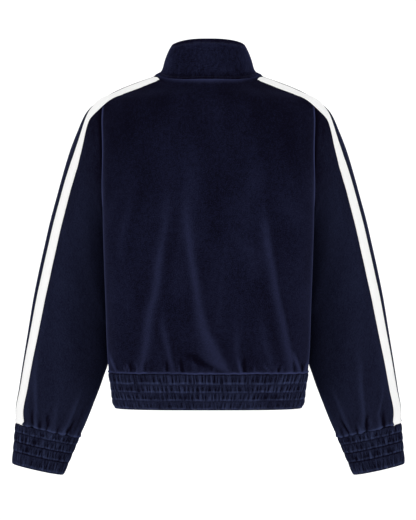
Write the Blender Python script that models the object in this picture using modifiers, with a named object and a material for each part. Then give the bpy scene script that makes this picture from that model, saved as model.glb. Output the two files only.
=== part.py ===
"""Track jacket in velour, zipped up and filled out as if worn, with nobody in it.

Metres, +Z up. The back of the jacket faces +Y, the zip -Y, and the wearer's left is +X.
The origin is in the middle of the neck, level with the tops of the shoulder seams.

The torso is one surface of level rings, squarer behind than in front, whose sections stand
in TORSO. The panels are cut out of it along the neckline, the shoulder ridge, the oval
armholes and the side seams. Each sleeve runs through the slanting sections of SLEEVE, from
the armhole to the cuff. The collar, the waistband, the cuffs and the stripes start from
those surfaces, so that every piece keeps one seam gap to its neighbours.
"""

import math

import bmesh
import bpy
import numpy as np

CM = 0.01
MM = 0.001
COLLECTION = "track_jacket"

# Cloth and seams
WALL = 1.6 * MM
COLLAR_WALL = 3.0 * MM
SMOCKED_WALL = 2.4 * MM
STRIPE_WALL = 1.0 * MM
SEAM_GAP = 0.3 * MM
SLANTING_SEAM_GAP = 0.5 * MM
ARMHOLE_GAP = 0.7 * MM

# Torso: one row for each level ring, in centimetres. The ring's widest points are at
# widest_y, and a power of 2 makes an ellipse, more a squarer and less a sharper ring.
# middle_round rounds off the point that a sharp ring has at the centre back and front.
TORSO_COLUMNS = (
    "level", "half_width", "widest_y", "back_y", "front_y", "back_power", "front_power",
    "middle_round",
)
TORSO = (
    (-61.0, 17.10, 3.6, 10.2, -11.4, 2.9, 2.0, 0.0),
    (-56.5, 17.45, 3.7, 10.3, -11.6, 2.9, 2.0, 0.0),
    (-53.4, 17.85, 3.8, 10.5, -11.9, 2.9, 2.0, 0.0),
    (-49.4, 18.17, 4.0, 10.8, -12.2, 2.9, 2.0, 0.0),
    (-40.6, 18.47, 4.0, 10.7, -12.3, 2.9, 2.0, 0.0),
    (-33.0, 18.75, 4.0, 10.7, -12.5, 2.9, 2.0, 0.0),
    (-25.5, 18.95, 4.0, 10.9, -12.7, 2.8, 2.0, 0.0),
    (-20.0, 19.05, 3.9, 11.0, -12.6, 2.7, 2.0, 0.0),
    (-14.0, 19.16, 3.5, 11.0, -11.7, 2.5, 2.0, 0.0),
    (-10.0, 19.35, 2.8, 10.6, -10.2, 2.3, 2.0, 0.5),
    (-7.0, 19.60, 2.1, 9.9, -8.4, 2.0, 1.9, 1.5),
    (-4.4, 19.85, 1.5, 8.8, -6.4, 1.45, 1.6, 3.0),
    (-3.55, 18.05, 1.3, 8.2, -5.6, 1.15, 1.45, 3.5),
    (-2.45, 15.80, 1.1, 7.3, -4.5, 1.05, 1.35, 3.5),
    (-1.0, 12.10, 0.9, 5.8, -2.9, 1.05, 1.3, 3.5),
    (0.0, 9.10, 0.8, 4.8, -1.6, 1.05, 1.3, 3.0),
    (1.5, 4.50, 0.7, 3.0, -0.4, 1.05, 1.3, 1.5),
)

# Neck opening as seen from above, and how far down the rows of the panels bend to meet it
NECK_HALF_WIDTH = 9.10 * CM
NECK_Y = 0.80 * CM
NECK_BACK = 5.60 * CM
NECK_FRONT = 9.20 * CM
NECK_BACK_POWER = 1.7
NECK_FRONT_POWER = 2.1
BACK_ROWS_BEND_FROM = -9.0 * CM
FRONT_ROWS_BEND_FROM = -18.0 * CM
LOWEST_OF_NECK = -16.0 * CM
HALVINGS = 40

# The rows of TORSO along the shoulder's ridge, from the neck out
SHOULDER_RIDGE = TORSO[:10:-1]

# Seams of the torso
WAIST_SEAM = -53.4 * CM
ARMHOLE_MIDDLE_Y = -0.20 * CM
ARMHOLE_MIDDLE_Z = -14.95 * CM
ARMHOLE_HALF_DEPTH = 5.60 * CM
ARMHOLE_HALF_HEIGHT = 10.55 * CM
SIDE_SEAM_Y = -0.20 * CM
ZIP_HALF_OPENING = 0.50 * CM

# Sleeve: one row for each slanting section, in centimetres. outer and inner are the ends
# of the section on the outside of the arm and below it, middle_y its middle, half_depth
# its half-size from front to back, and power its roundness.
SLEEVE_COLUMNS = (
    "outer_x", "outer_z", "inner_x", "inner_z", "middle_y", "half_depth", "power"
)
SLEEVE = (
    (20.00, -4.40, 18.90, -25.50, -0.20, 5.60, 2.0),
    (22.35, -6.85, 18.75, -26.00, -0.70, 5.60, 2.0),
    (23.95, -10.15, 18.55, -26.70, -1.30, 5.50, 2.0),
    (25.25, -13.40, 18.35, -27.70, -1.80, 5.10, 2.0),
    (26.60, -17.70, 18.15, -29.50, -2.30, 4.85, 2.0),
    (27.85, -22.10, 18.00, -32.00, -2.70, 4.70, 2.0),
    (29.05, -26.45, 17.90, -34.90, -3.00, 4.60, 2.0),
    (30.10, -30.90, 17.85, -38.00, -3.30, 4.55, 2.0),
    (31.10, -35.30, 17.85, -41.30, -3.50, 4.55, 2.0),
    (32.20, -40.75, 17.95, -45.80, -3.60, 4.45, 2.1),
    (33.10, -46.30, 18.30, -50.60, -3.60, 4.35, 2.1),
    (34.00, -51.80, 19.50, -55.30, -3.60, 4.15, 2.1),
    (34.80, -57.00, 21.15, -60.00, -3.60, 3.80, 2.1),
    (35.42, -61.40, 22.75, -64.00, -3.50, 3.05, 2.1),
    (35.30, -63.35, 23.75, -65.60, -3.40, 2.55, 2.1),
)
SLEEVE_RINGS = 24
SLEEVE_SIDES = 20
ARMHOLE_BLEND = 0.22

# Cuff: the section at its lower end, in centimetres, as in SLEEVE
CUFF_END = (36.05, -70.40, 26.40, -72.55, -3.20, 2.35, 2.1)

# Smocking: the ends of the stitched rows as shares of the height, and the puffs between
BAND_STITCHES = (0.0, 0.32, 0.54, 0.76, 1.0)
BAND_HEIGHT = 6.3 * CM
BAND_GATHERS = 78
BAND_PUFF = 3.2 * MM
CUFF_STITCHES = (0.0, 0.21, 0.44, 0.68, 1.0)
CUFF_GATHERS = 28
CUFF_PUFF = 3.0 * MM
GATHER_DEPTH = 1.3 * MM
FLAT_AT_ZIP = 1.2 * CM

# Collar: its upper edge as seen from above, and the height of that edge
COLLAR_TOP_HALF_WIDTH = 6.65 * CM
COLLAR_TOP_Y = 0.60 * CM
COLLAR_TOP_BACK = 4.90 * CM
COLLAR_TOP_FRONT = 8.00 * CM
COLLAR_TOP_POWER = 2.2
COLLAR_BACK_Z = 6.05 * CM
COLLAR_SIDE_Z = 5.30 * CM
COLLAR_FRONT_Z = 0.90 * CM
COLLAR_RISE = (0.0, 0.10, 0.22, 0.54, 0.82, 1.0)
COLLAR_LEAN = (0.0, 0.20, 0.32, 0.52, 0.77, 1.0)
COLLAR_FRONT_LEAN = (0.0, 0.30, 0.60, 0.95, 1.0, 1.0)
COLLAR_GAP_AT_ZIP = 1.3 * SEAM_GAP

# Stripe: its way from the neck to the cuff. behind is how far behind the shoulder ridge
# or the outer line of the sleeve its upper edge lies, in centimetres.
STRIPE_WIDTH = 2.25 * CM
STRIPE_STEPS = 4
STRIPE_GAP = 0.5 * MM
STRIPE_GAP_AT_ARMHOLE = 1.8 * MM
SHOULDER_BEHIND = ((9.45, 0.35), (14.0, 0.40), (19.7, 0.60))
SHOULDER_STEPS = 9
WALK_STEPS = 16
FIRST_SHARE_ON_SLEEVE = 0.012
SLEEVE_BACK_ANGLES = np.radians(np.linspace(0.0, 150.0, 60))
SLEEVE_BEHIND = (
    (0.0, 0.60), (0.055, 1.50), (0.10, 2.35), (0.165, 2.85), (0.30, 2.50), (0.66, 2.25),
    (0.75, 1.80), (0.83, 1.30), (0.90, 1.00), (1.0, 0.50),
)

# Largest folds of the back, each a soft ridge through three places, in centimetres:
# x and z of its lower end, middle and upper end, its half-width and its height
BACK_FOLDS = (
    (11.7, -52.5, 9.6, -40.0, 7.5, -26.0, 2.0, 0.45),
    (-2.6, -52.5, 2.4, -41.0, 4.1, -26.0, 2.2, 0.50),
    (-14.9, -52.5, -12.1, -40.0, -9.6, -26.0, 2.0, 0.45),
    (6.6, -52.8, 7.3, -49.0, 8.0, -45.0, 1.4, 0.25),
)
# Largest folds of the fronts, seen from behind as well, so +X is still the wearer's left
FRONT_FOLDS = (
    (10.8, -52.5, 8.8, -42.0, 8.2, -30.0, 2.0, 0.45),
    (-9.6, -52.5, -8.4, -41.0, -6.9, -28.0, 2.1, 0.45),
)
# Largest folds of each sleeve: the share of its length and the angle round it in degrees
# (0 outer, 90 back, 180 inner, 270 front) at the lower and the upper end, the half-width
# in degrees, and the height in centimetres
LEFT_SLEEVE_FOLDS = (
    (0.99, 128.0, 0.82, 92.0, 16.0, 0.30),
    (0.99, 70.0, 0.86, 64.0, 11.0, 0.25),
    (0.99, 250.0, 0.80, 285.0, 16.0, 0.30),
    (0.50, 205.0, 0.36, 120.0, 18.0, 0.35),
)
RIGHT_SLEEVE_FOLDS = (
    (0.99, 136.0, 0.84, 104.0, 15.0, 0.30),
    (0.99, 70.0, 0.80, 60.0, 11.0, 0.30),
    (0.99, 235.0, 0.78, 270.0, 17.0, 0.30),
    (0.56, 195.0, 0.40, 130.0, 18.0, 0.30),
)

# Rows and columns of the panels
ROWS_BELOW_ARMHOLE = 9
ROWS_AT_ARMHOLE = SLEEVE_SIDES // 2
ROWS_AT_SHOULDER = 4
BACK_COLUMNS = 9
FRONT_COLUMNS = 7
FINE_STEPS = 240

# Zip
ZIP_BOTTOM_Z = WAIST_SEAM - BAND_HEIGHT + 0.25 * CM
ZIP_TOP_Z = COLLAR_FRONT_Z - 0.35 * CM
CHAIN_HALF_WIDTH = 0.30 * CM
CHAIN_THICKNESS = 2.6 * MM
TAPE_HALF_WIDTH = 1.00 * CM
TAPE_THICKNESS = 0.9 * MM
TAPE_BEHIND = (
    (-61.0, 3.2), (-54.5, 3.2), (-52.0, 2.5), (-10.5, 2.5), (-8.7, 5.4), (-5.5, 5.2), (-2.0, 4.1),
    (2.0, 4.1),
)
ZIP_STEP = 3.2 * CM
SLIDER_WIDTH = 0.88 * CM
SLIDER_HEIGHT = 1.05 * CM
SLIDER_PLATE = 1.4 * MM
SLIDER_CLEARANCE = 0.35 * MM
WEDGE_WIDTH = 0.32 * CM
WEDGE_HEIGHT = 0.26 * CM
BRIDGE_WIDTH = 2.0 * MM
BRIDGE_BAR = 1.1 * MM
BRIDGE_HOLE_HEIGHT = 2.2 * MM
BRIDGE_HOLE_LENGTH = 3.6 * MM
PULL_BAR_RADIUS = 0.75 * MM
PULL_WIDTH = 0.70 * CM
PULL_LENGTH = 2.9 * CM
PULL_THICKNESS = 1.5 * MM
PULL_WINDOW_WIDTH = 3.2 * MM
PULL_WINDOW_LENGTH = 4.4 * MM
BOX_HEIGHT = 0.55 * CM
BOX_HALF_WIDTH = 0.45 * CM
BOX_THICKNESS = 2.2 * MM
BOX_BEVEL = 0.4 * MM
BOX_IN_FRONT = 0.5 * MM

# Colours (linear) and finish of the pieces
NAVY = (0.0085, 0.0090, 0.0235)
OFF_WHITE = (0.86, 0.86, 0.84)
TAPE_NAVY = (0.010, 0.011, 0.024)
METAL = (0.62, 0.62, 0.63)


def smooth_curve(knots, values, at):
    """Smooth curve through the values at rising knots, with no overshoot between them."""
    knots = np.asarray(knots, float)
    values = np.asarray(values, float)
    step = np.diff(knots)
    slope = np.diff(values) / step
    tangent = np.empty_like(values)
    tangent[0], tangent[-1] = slope[0], slope[-1]
    product = slope[:-1] * slope[1:]
    total = np.where(product > 0, slope[:-1] + slope[1:], 1.0)
    tangent[1:-1] = np.where(product > 0, 2.0 * product / total, 0.0)
    i = np.clip(np.searchsorted(knots, at) - 1, 0, len(step) - 1)
    t = np.clip((at - knots[i]) / step[i], 0.0, 1.0)
    start = (1.0 + 2.0 * t) * (1.0 - t) ** 2
    end = t**2 * (3.0 - 2.0 * t)
    leave = t * (1.0 - t) ** 2 * step[i]
    arrive = t**2 * (t - 1.0) * step[i]
    return start * values[i] + end * values[i + 1] + leave * tangent[i] + arrive * tangent[i + 1]


def table_curves(columns, rows, knots, at):
    """Each named column of a table, as a smooth curve read at the given places."""
    table = np.asarray(rows, float)
    return {name: smooth_curve(knots, table[:, i], at) for i, name in enumerate(columns)}


def unit(vectors):
    """Vectors scaled to length 1."""
    return vectors / np.linalg.norm(vectors, axis=-1, keepdims=True)


def lengths_along(points, square_to=None):
    """Length along a line of points, or only what of it runs square to a direction."""
    steps = np.diff(points, axis=0)
    if square_to is not None:
        steps = steps - (steps @ square_to)[:, None] * square_to
    return np.concatenate([[0.0], np.cumsum(np.linalg.norm(steps, axis=1))])


def ridge_profile(distance, half_width):
    """Height share of a soft ridge at a distance from its crest."""
    return np.exp(-((distance / half_width) ** 2))


def torso_sizes(level):
    """Sizes of the torso's ring at each level, in metres, and its powers."""
    sizes = table_curves(
        TORSO_COLUMNS, TORSO, [row[0] for row in TORSO], np.asarray(level) / CM
    )
    for name in ("half_width", "widest_y", "back_y", "front_y", "middle_round"):
        sizes[name] = sizes[name] * CM
    return sizes


def rounded_off(x, middle_round):
    """Distances from the middle with the point at the middle rounded off."""
    return np.sqrt(x**2 + middle_round**2) - middle_round


def from_rounded(distance, middle_round):
    """The distance from the middle that rounded_off turns into this one."""
    return np.sqrt((distance + middle_round) ** 2 - middle_round**2)


def torso_across(s, share):
    """x of the ring where its rounded distance from the middle is a share of the whole."""
    reach = rounded_off(s["half_width"], s["middle_round"])
    return from_rounded(reach * share, s["middle_round"])


def half_ring(s, behind):
    """Depth from the widest points, and power, of the back or the front half of a ring."""
    depth = np.where(behind, s["back_y"] - s["widest_y"], s["widest_y"] - s["front_y"])
    return depth, np.where(behind, s["back_power"], s["front_power"])


def torso_ring(angle, level):
    """Points of the torso: -90 degrees is the centre front, 0 the side at +X, 90 the back."""
    s = torso_sizes(level)
    behind = angle >= 0.0
    depth, power = half_ring(s, behind)
    along = np.abs(np.sin(angle)) ** (2.0 / power)
    x = torso_across(s, np.abs(np.cos(angle)) ** (2.0 / power))
    y = s["widest_y"] + np.where(behind, 1.0, -1.0) * depth * along
    return np.stack([x, y, np.broadcast_to(level, x.shape)], axis=-1)


def torso_field(points):
    """Below 1 inside the torso, 1 on its surface and more outside."""
    s = torso_sizes(points[..., 2])
    offset = points[..., 1] - s["widest_y"]
    depth, power = half_ring(s, offset >= 0.0)
    across = rounded_off(points[..., 0], s["middle_round"])
    across = across / rounded_off(s["half_width"], s["middle_round"])
    return across**power + (np.abs(offset) / depth) ** power


def torso_normal(points):
    """Outward normal of the torso at points of its surface."""
    reach = 0.4 * MM
    gradient = [
        torso_field(points + reach * axis) - torso_field(points - reach * axis)
        for axis in np.eye(3)
    ]
    return unit(np.stack(gradient, axis=-1))


def neck_drop(angle):
    """How far below the shoulder's top the neckline crosses the torso at each angle."""
    low = np.full(np.shape(angle), LOWEST_OF_NECK)
    high = np.zeros(np.shape(angle))
    depth = np.where(angle >= 0.0, NECK_BACK, NECK_FRONT)
    power = np.where(angle >= 0.0, NECK_BACK_POWER, NECK_FRONT_POWER)
    for _ in range(HALVINGS):
        middle = 0.5 * (low + high)
        points = torso_ring(angle, middle)
        share = (points[..., 0] / NECK_HALF_WIDTH) ** power
        share = share + (np.abs(points[..., 1] - NECK_Y) / depth) ** power
        outside = share > 1.0
        low = np.where(outside, middle, low)
        high = np.where(outside, high, middle)
    return -0.5 * (low + high)


def fold_lift(x, z, folds):
    """How far the folds lift the cloth at each place, as ridges that fade at both ends."""
    lift = np.zeros(np.shape(x))
    for low_x, low_z, mid_x, mid_z, top_x, top_z, half_width, height in folds:
        knots = np.array([low_z, mid_z, top_z]) * CM
        middle = smooth_curve(knots, np.array([low_x, mid_x, top_x]) * CM, z)
        share = (z - knots[0]) / (knots[2] - knots[0])
        fade = np.clip(share / 0.12, 0.0, 1.0) * np.clip((1.0 - share) / 0.8, 0.0, 1.0)
        lift += height * CM * fade * ridge_profile(x - middle, half_width * CM)
    return lift


def armhole_place(turn, shrink):
    """y and z on the armhole's oval. turn is 0 at the shoulder, pi / 2 behind and pi below."""
    top = ARMHOLE_MIDDLE_Z + ARMHOLE_HALF_HEIGHT
    lean = torso_sizes(top)["widest_y"] - ARMHOLE_MIDDLE_Y
    share = np.clip(np.cos(turn), 0.0, 1.0) ** 4
    y = ARMHOLE_MIDDLE_Y + lean * share + (ARMHOLE_HALF_DEPTH - shrink) * np.sin(turn)
    z = ARMHOLE_MIDDLE_Z + (ARMHOLE_HALF_HEIGHT - shrink) * np.cos(turn)
    return y, z


def panel_rows():
    """Level of each row of the panels, and where it meets the armhole, from the waist seam up."""
    bottom = ARMHOLE_MIDDLE_Z - ARMHOLE_HALF_HEIGHT
    below = np.linspace(WAIST_SEAM, bottom, ROWS_BELOW_ARMHOLE + 1)[:-1]
    turn = np.linspace(math.pi, 0.0, ROWS_AT_ARMHOLE + 1)
    beside = armhole_place(turn, 0.0)[1]
    above = np.linspace(beside[-1], 0.0, ROWS_AT_SHOULDER + 1)[1:]
    levels = np.concatenate([below, beside, above])
    turns = np.concatenate([np.full(len(below), math.pi), turn, np.zeros(len(above))])
    return levels, turns


def seam_y(level, turn, side):
    """y of the side seam, the armhole (side 1 behind, -1 in front) or the ridge at a level."""
    ridge = torso_sizes(level)["widest_y"]
    if turn == math.pi:
        return SIDE_SEAM_Y
    if turn == 0.0:
        return float(ridge)
    return float(armhole_place(side * turn, 0.0)[0])


def bent_row(angle, level, drop):
    """A row of the panels: level low down, and bent down towards the neckline near the top."""
    start = np.where(angle >= 0.0, BACK_ROWS_BEND_FROM, FRONT_ROWS_BEND_FROM)
    share = np.clip((level - start) / -start, 0.0, 1.0) ** 1.5
    return torso_ring(angle, level - drop * share)


def half_panel(side, columns):
    """Points and normals of half the back (side 1) or of a front (side -1), at +X.

    The first column is the side edge and the last the centre line or the zip's edge. The
    columns divide the length of each row evenly.
    """
    quarter = np.radians(90.0) * np.linspace(0.0, 1.0, FINE_STEPS) ** 1.5
    angles = np.concatenate([-quarter[:0:-1], quarter])
    drops = neck_drop(angles)
    points, seams = [], []
    for level, turn in zip(*panel_rows()):
        y_at_seam = seam_y(level, turn, side)
        angle_at_seam = np.interp(y_at_seam, torso_ring(angles, level)[:, 1], angles)
        drop = np.maximum(drops - np.interp(angle_at_seam, angles, drops), 0.0)
        fine = bent_row(angles, level, drop)
        along = lengths_along(fine)
        seam = np.interp(angle_at_seam, angles, along)
        if side > 0:
            centre = along[-1]
        else:
            centre = np.interp(ZIP_HALF_OPENING, fine[:FINE_STEPS, 0], along[:FINE_STEPS])
        places = np.linspace(seam + side * SLANTING_SEAM_GAP / 2, centre, columns + 1)
        angle = np.interp(places, along, angles)
        points.append(bent_row(angle, level, np.interp(angle, angles, drop)))
        seams.append(bent_row(angle_at_seam, level, 0.0))
    points = np.array(points)
    normals = torso_normal(points)
    normals[:, 0] = torso_normal(np.array(seams))
    return points, normals


def mirrored(points):
    """The same points on the other side of the plane through the zip and the centre back."""
    return points * np.array([-1.0, 1.0, 1.0])


def back_grid():
    """Outer points and normals of the back, from its left edge to its right one."""
    points, normals = half_panel(1, BACK_COLUMNS)
    points = np.concatenate([points, mirrored(points[:, -2::-1])], axis=1)
    normals = np.concatenate([normals, mirrored(normals[:, -2::-1])], axis=1)
    lift = fold_lift(points[..., 0], points[..., 2], BACK_FOLDS)
    return points + normals * lift[..., None], normals


def front_grid(hand):
    """Outer points and normals of a front from its side edge to the zip. hand is 1 at +X."""
    points, normals = half_panel(-1, FRONT_COLUMNS)
    if hand < 0:
        points, normals = mirrored(points), mirrored(normals)
    lift = fold_lift(points[..., 0], points[..., 2], FRONT_FOLDS)
    return points + normals * lift[..., None], normals


def sleeve_sizes(share):
    """Sizes of the sleeve's section at a share of its outer length, in metres, and its power."""
    table = np.array(SLEEVE)
    knots = lengths_along(table[:, :2])
    sizes = table_curves(SLEEVE_COLUMNS, SLEEVE, knots / knots[-1], share)
    return {name: value * (1.0 if name == "power" else CM) for name, value in sizes.items()}


def section_points(sizes, angle):
    """Points of a slanting section at angles from its outer end (0) round the back (90)."""
    power = 2.0 / sizes["power"]
    across = np.sign(np.cos(angle)) * np.abs(np.cos(angle)) ** power
    along = np.sign(np.sin(angle)) * np.abs(np.sin(angle)) ** power
    x = 0.5 * (sizes["outer_x"] + sizes["inner_x"])
    z = 0.5 * (sizes["outer_z"] + sizes["inner_z"])
    x = x + 0.5 * (sizes["outer_x"] - sizes["inner_x"]) * across
    z = z + 0.5 * (sizes["outer_z"] - sizes["inner_z"]) * across
    return np.stack([x, sizes["middle_y"] + sizes["half_depth"] * along, z], axis=-1)


def armhole_points(angle):
    """Points of the torso's surface round the armhole, one seam gap inside the panels' edges."""
    y, z = armhole_place(angle, ARMHOLE_GAP)
    s = torso_sizes(z)
    offset = y - s["widest_y"]
    depth, power = half_ring(s, offset >= 0.0)
    x = torso_across(s, (1.0 - (np.abs(offset) / depth) ** power) ** (1.0 / power))
    return np.stack([x, y, z], axis=-1)


def sleeve_points(share, angle):
    """Outer points of the left sleeve at shares of its length and angles round it."""
    shift = armhole_points(angle) - section_points(sleeve_sizes(0.0), angle)
    fade = np.clip(1.0 - share / ARMHOLE_BLEND, 0.0, 1.0) ** 2
    return section_points(sleeve_sizes(share), angle) + shift * fade[..., None]


def ring_normals(points):
    """Outward normals of a grid of rings, with rows along the tube and columns round it."""
    round_it = np.roll(points, -1, axis=1) - np.roll(points, 1, axis=1)
    along = np.gradient(points, axis=0)
    return unit(np.cross(along, round_it))


def strip_normals(points):
    """Outward normals of a grid whose columns don't close into a ring."""
    return unit(np.cross(np.gradient(points, axis=0), np.gradient(points, axis=1)))


def sleeve_fold_lift(share, angle, folds):
    """How far the folds of a sleeve lift its cloth."""
    lift = np.zeros(np.broadcast(share, angle).shape)
    for low, low_angle, high, high_angle, half_width, height in folds:
        rise = (low - share) / (low - high)
        middle = low_angle + (high_angle - low_angle) * np.clip(rise, 0.0, 1.0)
        away = (np.degrees(angle) - middle + 180.0) % 360.0 - 180.0
        fade = np.clip((rise + 0.05) / 0.15, 0.0, 1.0) * np.clip((1.15 - rise) / 0.7, 0.0, 1.0)
        lift += height * CM * fade * ridge_profile(away, half_width)
    return lift


def sleeve_grid(folds):
    """Outer points and normals of the left sleeve, from the armhole down."""
    share = np.linspace(0.0, 1.0, SLEEVE_RINGS)[:, None]
    angle = np.linspace(0.0, 2.0 * math.pi, SLEEVE_SIDES, endpoint=False)[None, :]
    share, angle = np.broadcast_arrays(share, angle)
    points = sleeve_points(share, angle)
    normals = ring_normals(points)
    lift = sleeve_fold_lift(share, angle, folds)
    lift = lift * np.clip(share / 0.1, 0.0, 1.0) * np.clip((1.0 - share) / 0.03, 0.0, 1.0)
    return points + normals * lift[..., None], normals


def puffs(share, stitches):
    """0 at each row of stitches and 1 halfway between two rows."""
    stitches = np.asarray(stitches)
    i = np.clip(np.searchsorted(stitches, share, side="right") - 1, 0, len(stitches) - 2)
    inside = (share - stitches[i]) / (stitches[i + 1] - stitches[i])
    return np.sin(math.pi * np.clip(inside, 0.0, 1.0))


def smocked_lift(share, turn, gathers, stitches, puff):
    """How far smocked cloth stands out: puffs between the stitches, pleated into gathers."""
    uneven = 0.75 + 0.25 * np.sin(5.0 * turn + 9.0 * share)
    pleat = 0.5 + 0.5 * np.cos(gathers * turn)
    return puffs(share, stitches) * (puff - GATHER_DEPTH * (1.0 - pleat) * uneven)


def stitched_shares(stitches):
    """The rows of stitches and the places halfway between them."""
    stitches = np.asarray(stitches)
    halfway = 0.5 * (stitches[:-1] + stitches[1:])
    return np.sort(np.concatenate([stitches, halfway]))


def band_ring(level, count):
    """Points of the band's ring at a level, from the zip at +X round the back to -X."""
    quarter = np.radians(90.0) * np.linspace(0.0, 1.0, FINE_STEPS) ** 1.5
    angles = np.concatenate([-quarter[:0:-1], quarter])
    fine = torso_ring(angles, level)
    along = lengths_along(fine)
    start = np.interp(ZIP_HALF_OPENING, fine[:FINE_STEPS, 0], along[:FINE_STEPS])
    places = np.linspace(start, 2.0 * along[-1] - start, count + 1)
    near = np.minimum(places, 2.0 * along[-1] - places)
    points = torso_ring(np.interp(near, along, angles), level)
    points[:, 0] *= np.where(places > along[-1], -1.0, 1.0)
    return points, places - start


def band_grids():
    """Outer points of the smocked band, and its plain inner ones."""
    height = BAND_HEIGHT - SEAM_GAP
    outer = []
    for share in stitched_shares(BAND_STITCHES):
        base, along = band_ring(WAIST_SEAM - SEAM_GAP - share * height, 2 * BAND_GATHERS)
        turn = 2.0 * math.pi * along / along[-1]
        lift = smocked_lift(share, turn, BAND_GATHERS, BAND_STITCHES, BAND_PUFF)
        flat = np.clip(np.minimum(along, along[-1] - along) / FLAT_AT_ZIP, 0.0, 1.0)
        outer.append(base + torso_normal(base) * (lift * flat)[:, None])
    inner = []
    for share in (0.0, 1.0):
        base, _ = band_ring(WAIST_SEAM - SEAM_GAP - share * height, BAND_GATHERS // 2)
        inner.append(base - torso_normal(base) * SMOCKED_WALL)
    return np.array(outer), np.array(inner)


def cuff_section(share):
    """Sizes of the cuff's section at a share of its height, in metres, and its power."""
    sizes = {}
    for name, start, end in zip(SLEEVE_COLUMNS, SLEEVE[-1], CUFF_END):
        unit_size = 1.0 if name == "power" else CM
        sizes[name] = (start + (end - start) * share) * unit_size
    return sizes


def cuff_points(share, angle):
    """Points of the left cuff before smocking, at shares of its height and angles round it."""
    return section_points(cuff_section(share), angle)


def cuff_grids():
    """Outer points of the left smocked cuff, and its plain inner ones."""
    middle = cuff_points(0.0, np.array([0.0, math.pi])).mean(axis=0)
    end = cuff_points(1.0, np.array([0.0, math.pi])).mean(axis=0)
    gap = SEAM_GAP / np.linalg.norm(end - middle)
    shares = gap + (1.0 - gap) * stitched_shares(CUFF_STITCHES)
    around = np.linspace(0.0, 2.0 * math.pi, 2 * CUFF_GATHERS, endpoint=False)
    share, angle = np.meshgrid(shares, around, indexing="ij")
    outer = cuff_points(share, angle)
    even = (share - gap) / (1.0 - gap)
    lift = smocked_lift(even, angle, CUFF_GATHERS, CUFF_STITCHES, CUFF_PUFF)
    outer = outer + ring_normals(outer) * lift[..., None]
    share, angle = np.meshgrid(shares[[0, -1]], around[::2], indexing="ij")
    inner = cuff_points(share, angle)
    return outer, inner - ring_normals(inner) * SMOCKED_WALL


def collar_top(share):
    """Upper edge of the collar at +X, by share of its length from the side to the back or front.

    share runs from -1 at the centre front through 0 at the side to 1 at the centre back.
    """
    angles = np.linspace(-90.0, 90.0, 2 * FINE_STEPS + 1)
    c, s = np.cos(np.radians(angles)), np.sin(np.radians(angles))
    power = 2.0 / COLLAR_TOP_POWER
    depth = np.where(s >= 0.0, COLLAR_TOP_BACK, COLLAR_TOP_FRONT)
    rise = np.where(s >= 0.0, COLLAR_BACK_Z - COLLAR_SIDE_Z, COLLAR_SIDE_Z - COLLAR_FRONT_Z)
    along = np.sign(s) * np.abs(s) ** power
    edge = np.stack(
        [
            COLLAR_TOP_HALF_WIDTH * np.abs(c) ** power,
            COLLAR_TOP_Y + depth * along,
            COLLAR_SIDE_Z + rise * along,
        ],
        axis=-1,
    )
    length = lengths_along(edge)
    side = length[FINE_STEPS]
    place = np.where(share < 0.0, side * (1.0 + share), side + (length[-1] - side) * share)
    return np.stack([np.interp(place, length, edge[:, i]) for i in range(3)], axis=-1)


def neck_row():
    """The panels' uppermost points from the zip at +X to the centre back, and their shares."""
    front = half_panel(-1, FRONT_COLUMNS)[0][-1]
    back = half_panel(1, BACK_COLUMNS)[0][-1]
    side = 0.5 * (front[:1] + back[:1])
    points = np.concatenate([front[:0:-1], side, back[1:]])
    share = np.concatenate(
        [np.linspace(-1.0, 0.0, FRONT_COLUMNS + 1), np.linspace(0.0, 1.0, BACK_COLUMNS + 1)[1:]]
    )
    return points, share


def collar_grid():
    """Outer points and normals of the collar, from the zip at +X round the back to -X."""
    base, share = neck_row()
    top = collar_top(share)
    top[0, 0] = ZIP_HALF_OPENING
    front = np.clip(-share, 0.0, 1.0)[None, :, None]
    rise = np.array(COLLAR_RISE)[:, None, None]
    lean = np.array(COLLAR_LEAN)[:, None, None] * (1.0 - front)
    lean = lean + np.array(COLLAR_FRONT_LEAN)[:, None, None] * front
    weight = np.concatenate([lean, lean, np.broadcast_to(rise, lean.shape)], axis=2)
    points = base + (top - base) * weight
    points[0] += COLLAR_GAP_AT_ZIP * unit(points[1] - points[0])
    points[:, 0, 0] = ZIP_HALF_OPENING
    points = np.concatenate([points, mirrored(points[:, -2::-1])], axis=1)
    return points, -strip_normals(points)


def new_object(name, vertices, faces, material):
    """An object of the jacket from points and faces, shaded smooth but for its rims."""
    mesh = bpy.data.meshes.new(name)
    mesh.from_pydata([tuple(map(float, v)) for v in vertices], [], faces)
    mesh.validate()
    mesh.shade_smooth()
    mesh.set_sharp_from_angle(angle=math.radians(50.0))
    mesh.materials.append(material)
    obj = bpy.data.objects.new(name, mesh)
    bpy.data.collections[COLLECTION].objects.link(obj)
    return obj


def turned_over(face):
    """The face seen from its other side, with the same first corner."""
    return (face[0], *face[:0:-1])


def grid_faces(rows, columns, start, closed, flip):
    """Quads of a grid of points that starts at an index.

    The first corner of a quad decides which way it is cut into triangles. An open grid
    changes it over in the middle, so that both halves are cut alike.
    """
    across = columns if closed else columns - 1
    faces = []
    for r in range(rows - 1):
        for c in range(across):
            a, b = start + r * columns + c, start + r * columns + (c + 1) % columns
            quad = (b, b + columns, a + columns, a)
            if not closed and c >= across // 2:
                quad = (a, b, b + columns, a + columns)
            faces.append(turned_over(quad) if flip else quad)
    return faces


def rim_faces(near, far, flip):
    """Faces between an edge of the outer grid and the same edge of the inner one.

    The outer edge may have several steps for each step of the inner one.
    """
    step = (len(near) - 1) // (len(far) - 1)
    faces = []
    for i in range(len(far) - 1):
        face = [*near[i * step : (i + 1) * step + 1][::-1], far[i], far[i + 1]]
        faces.append(turned_over(face) if flip else face)
    return faces


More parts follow.
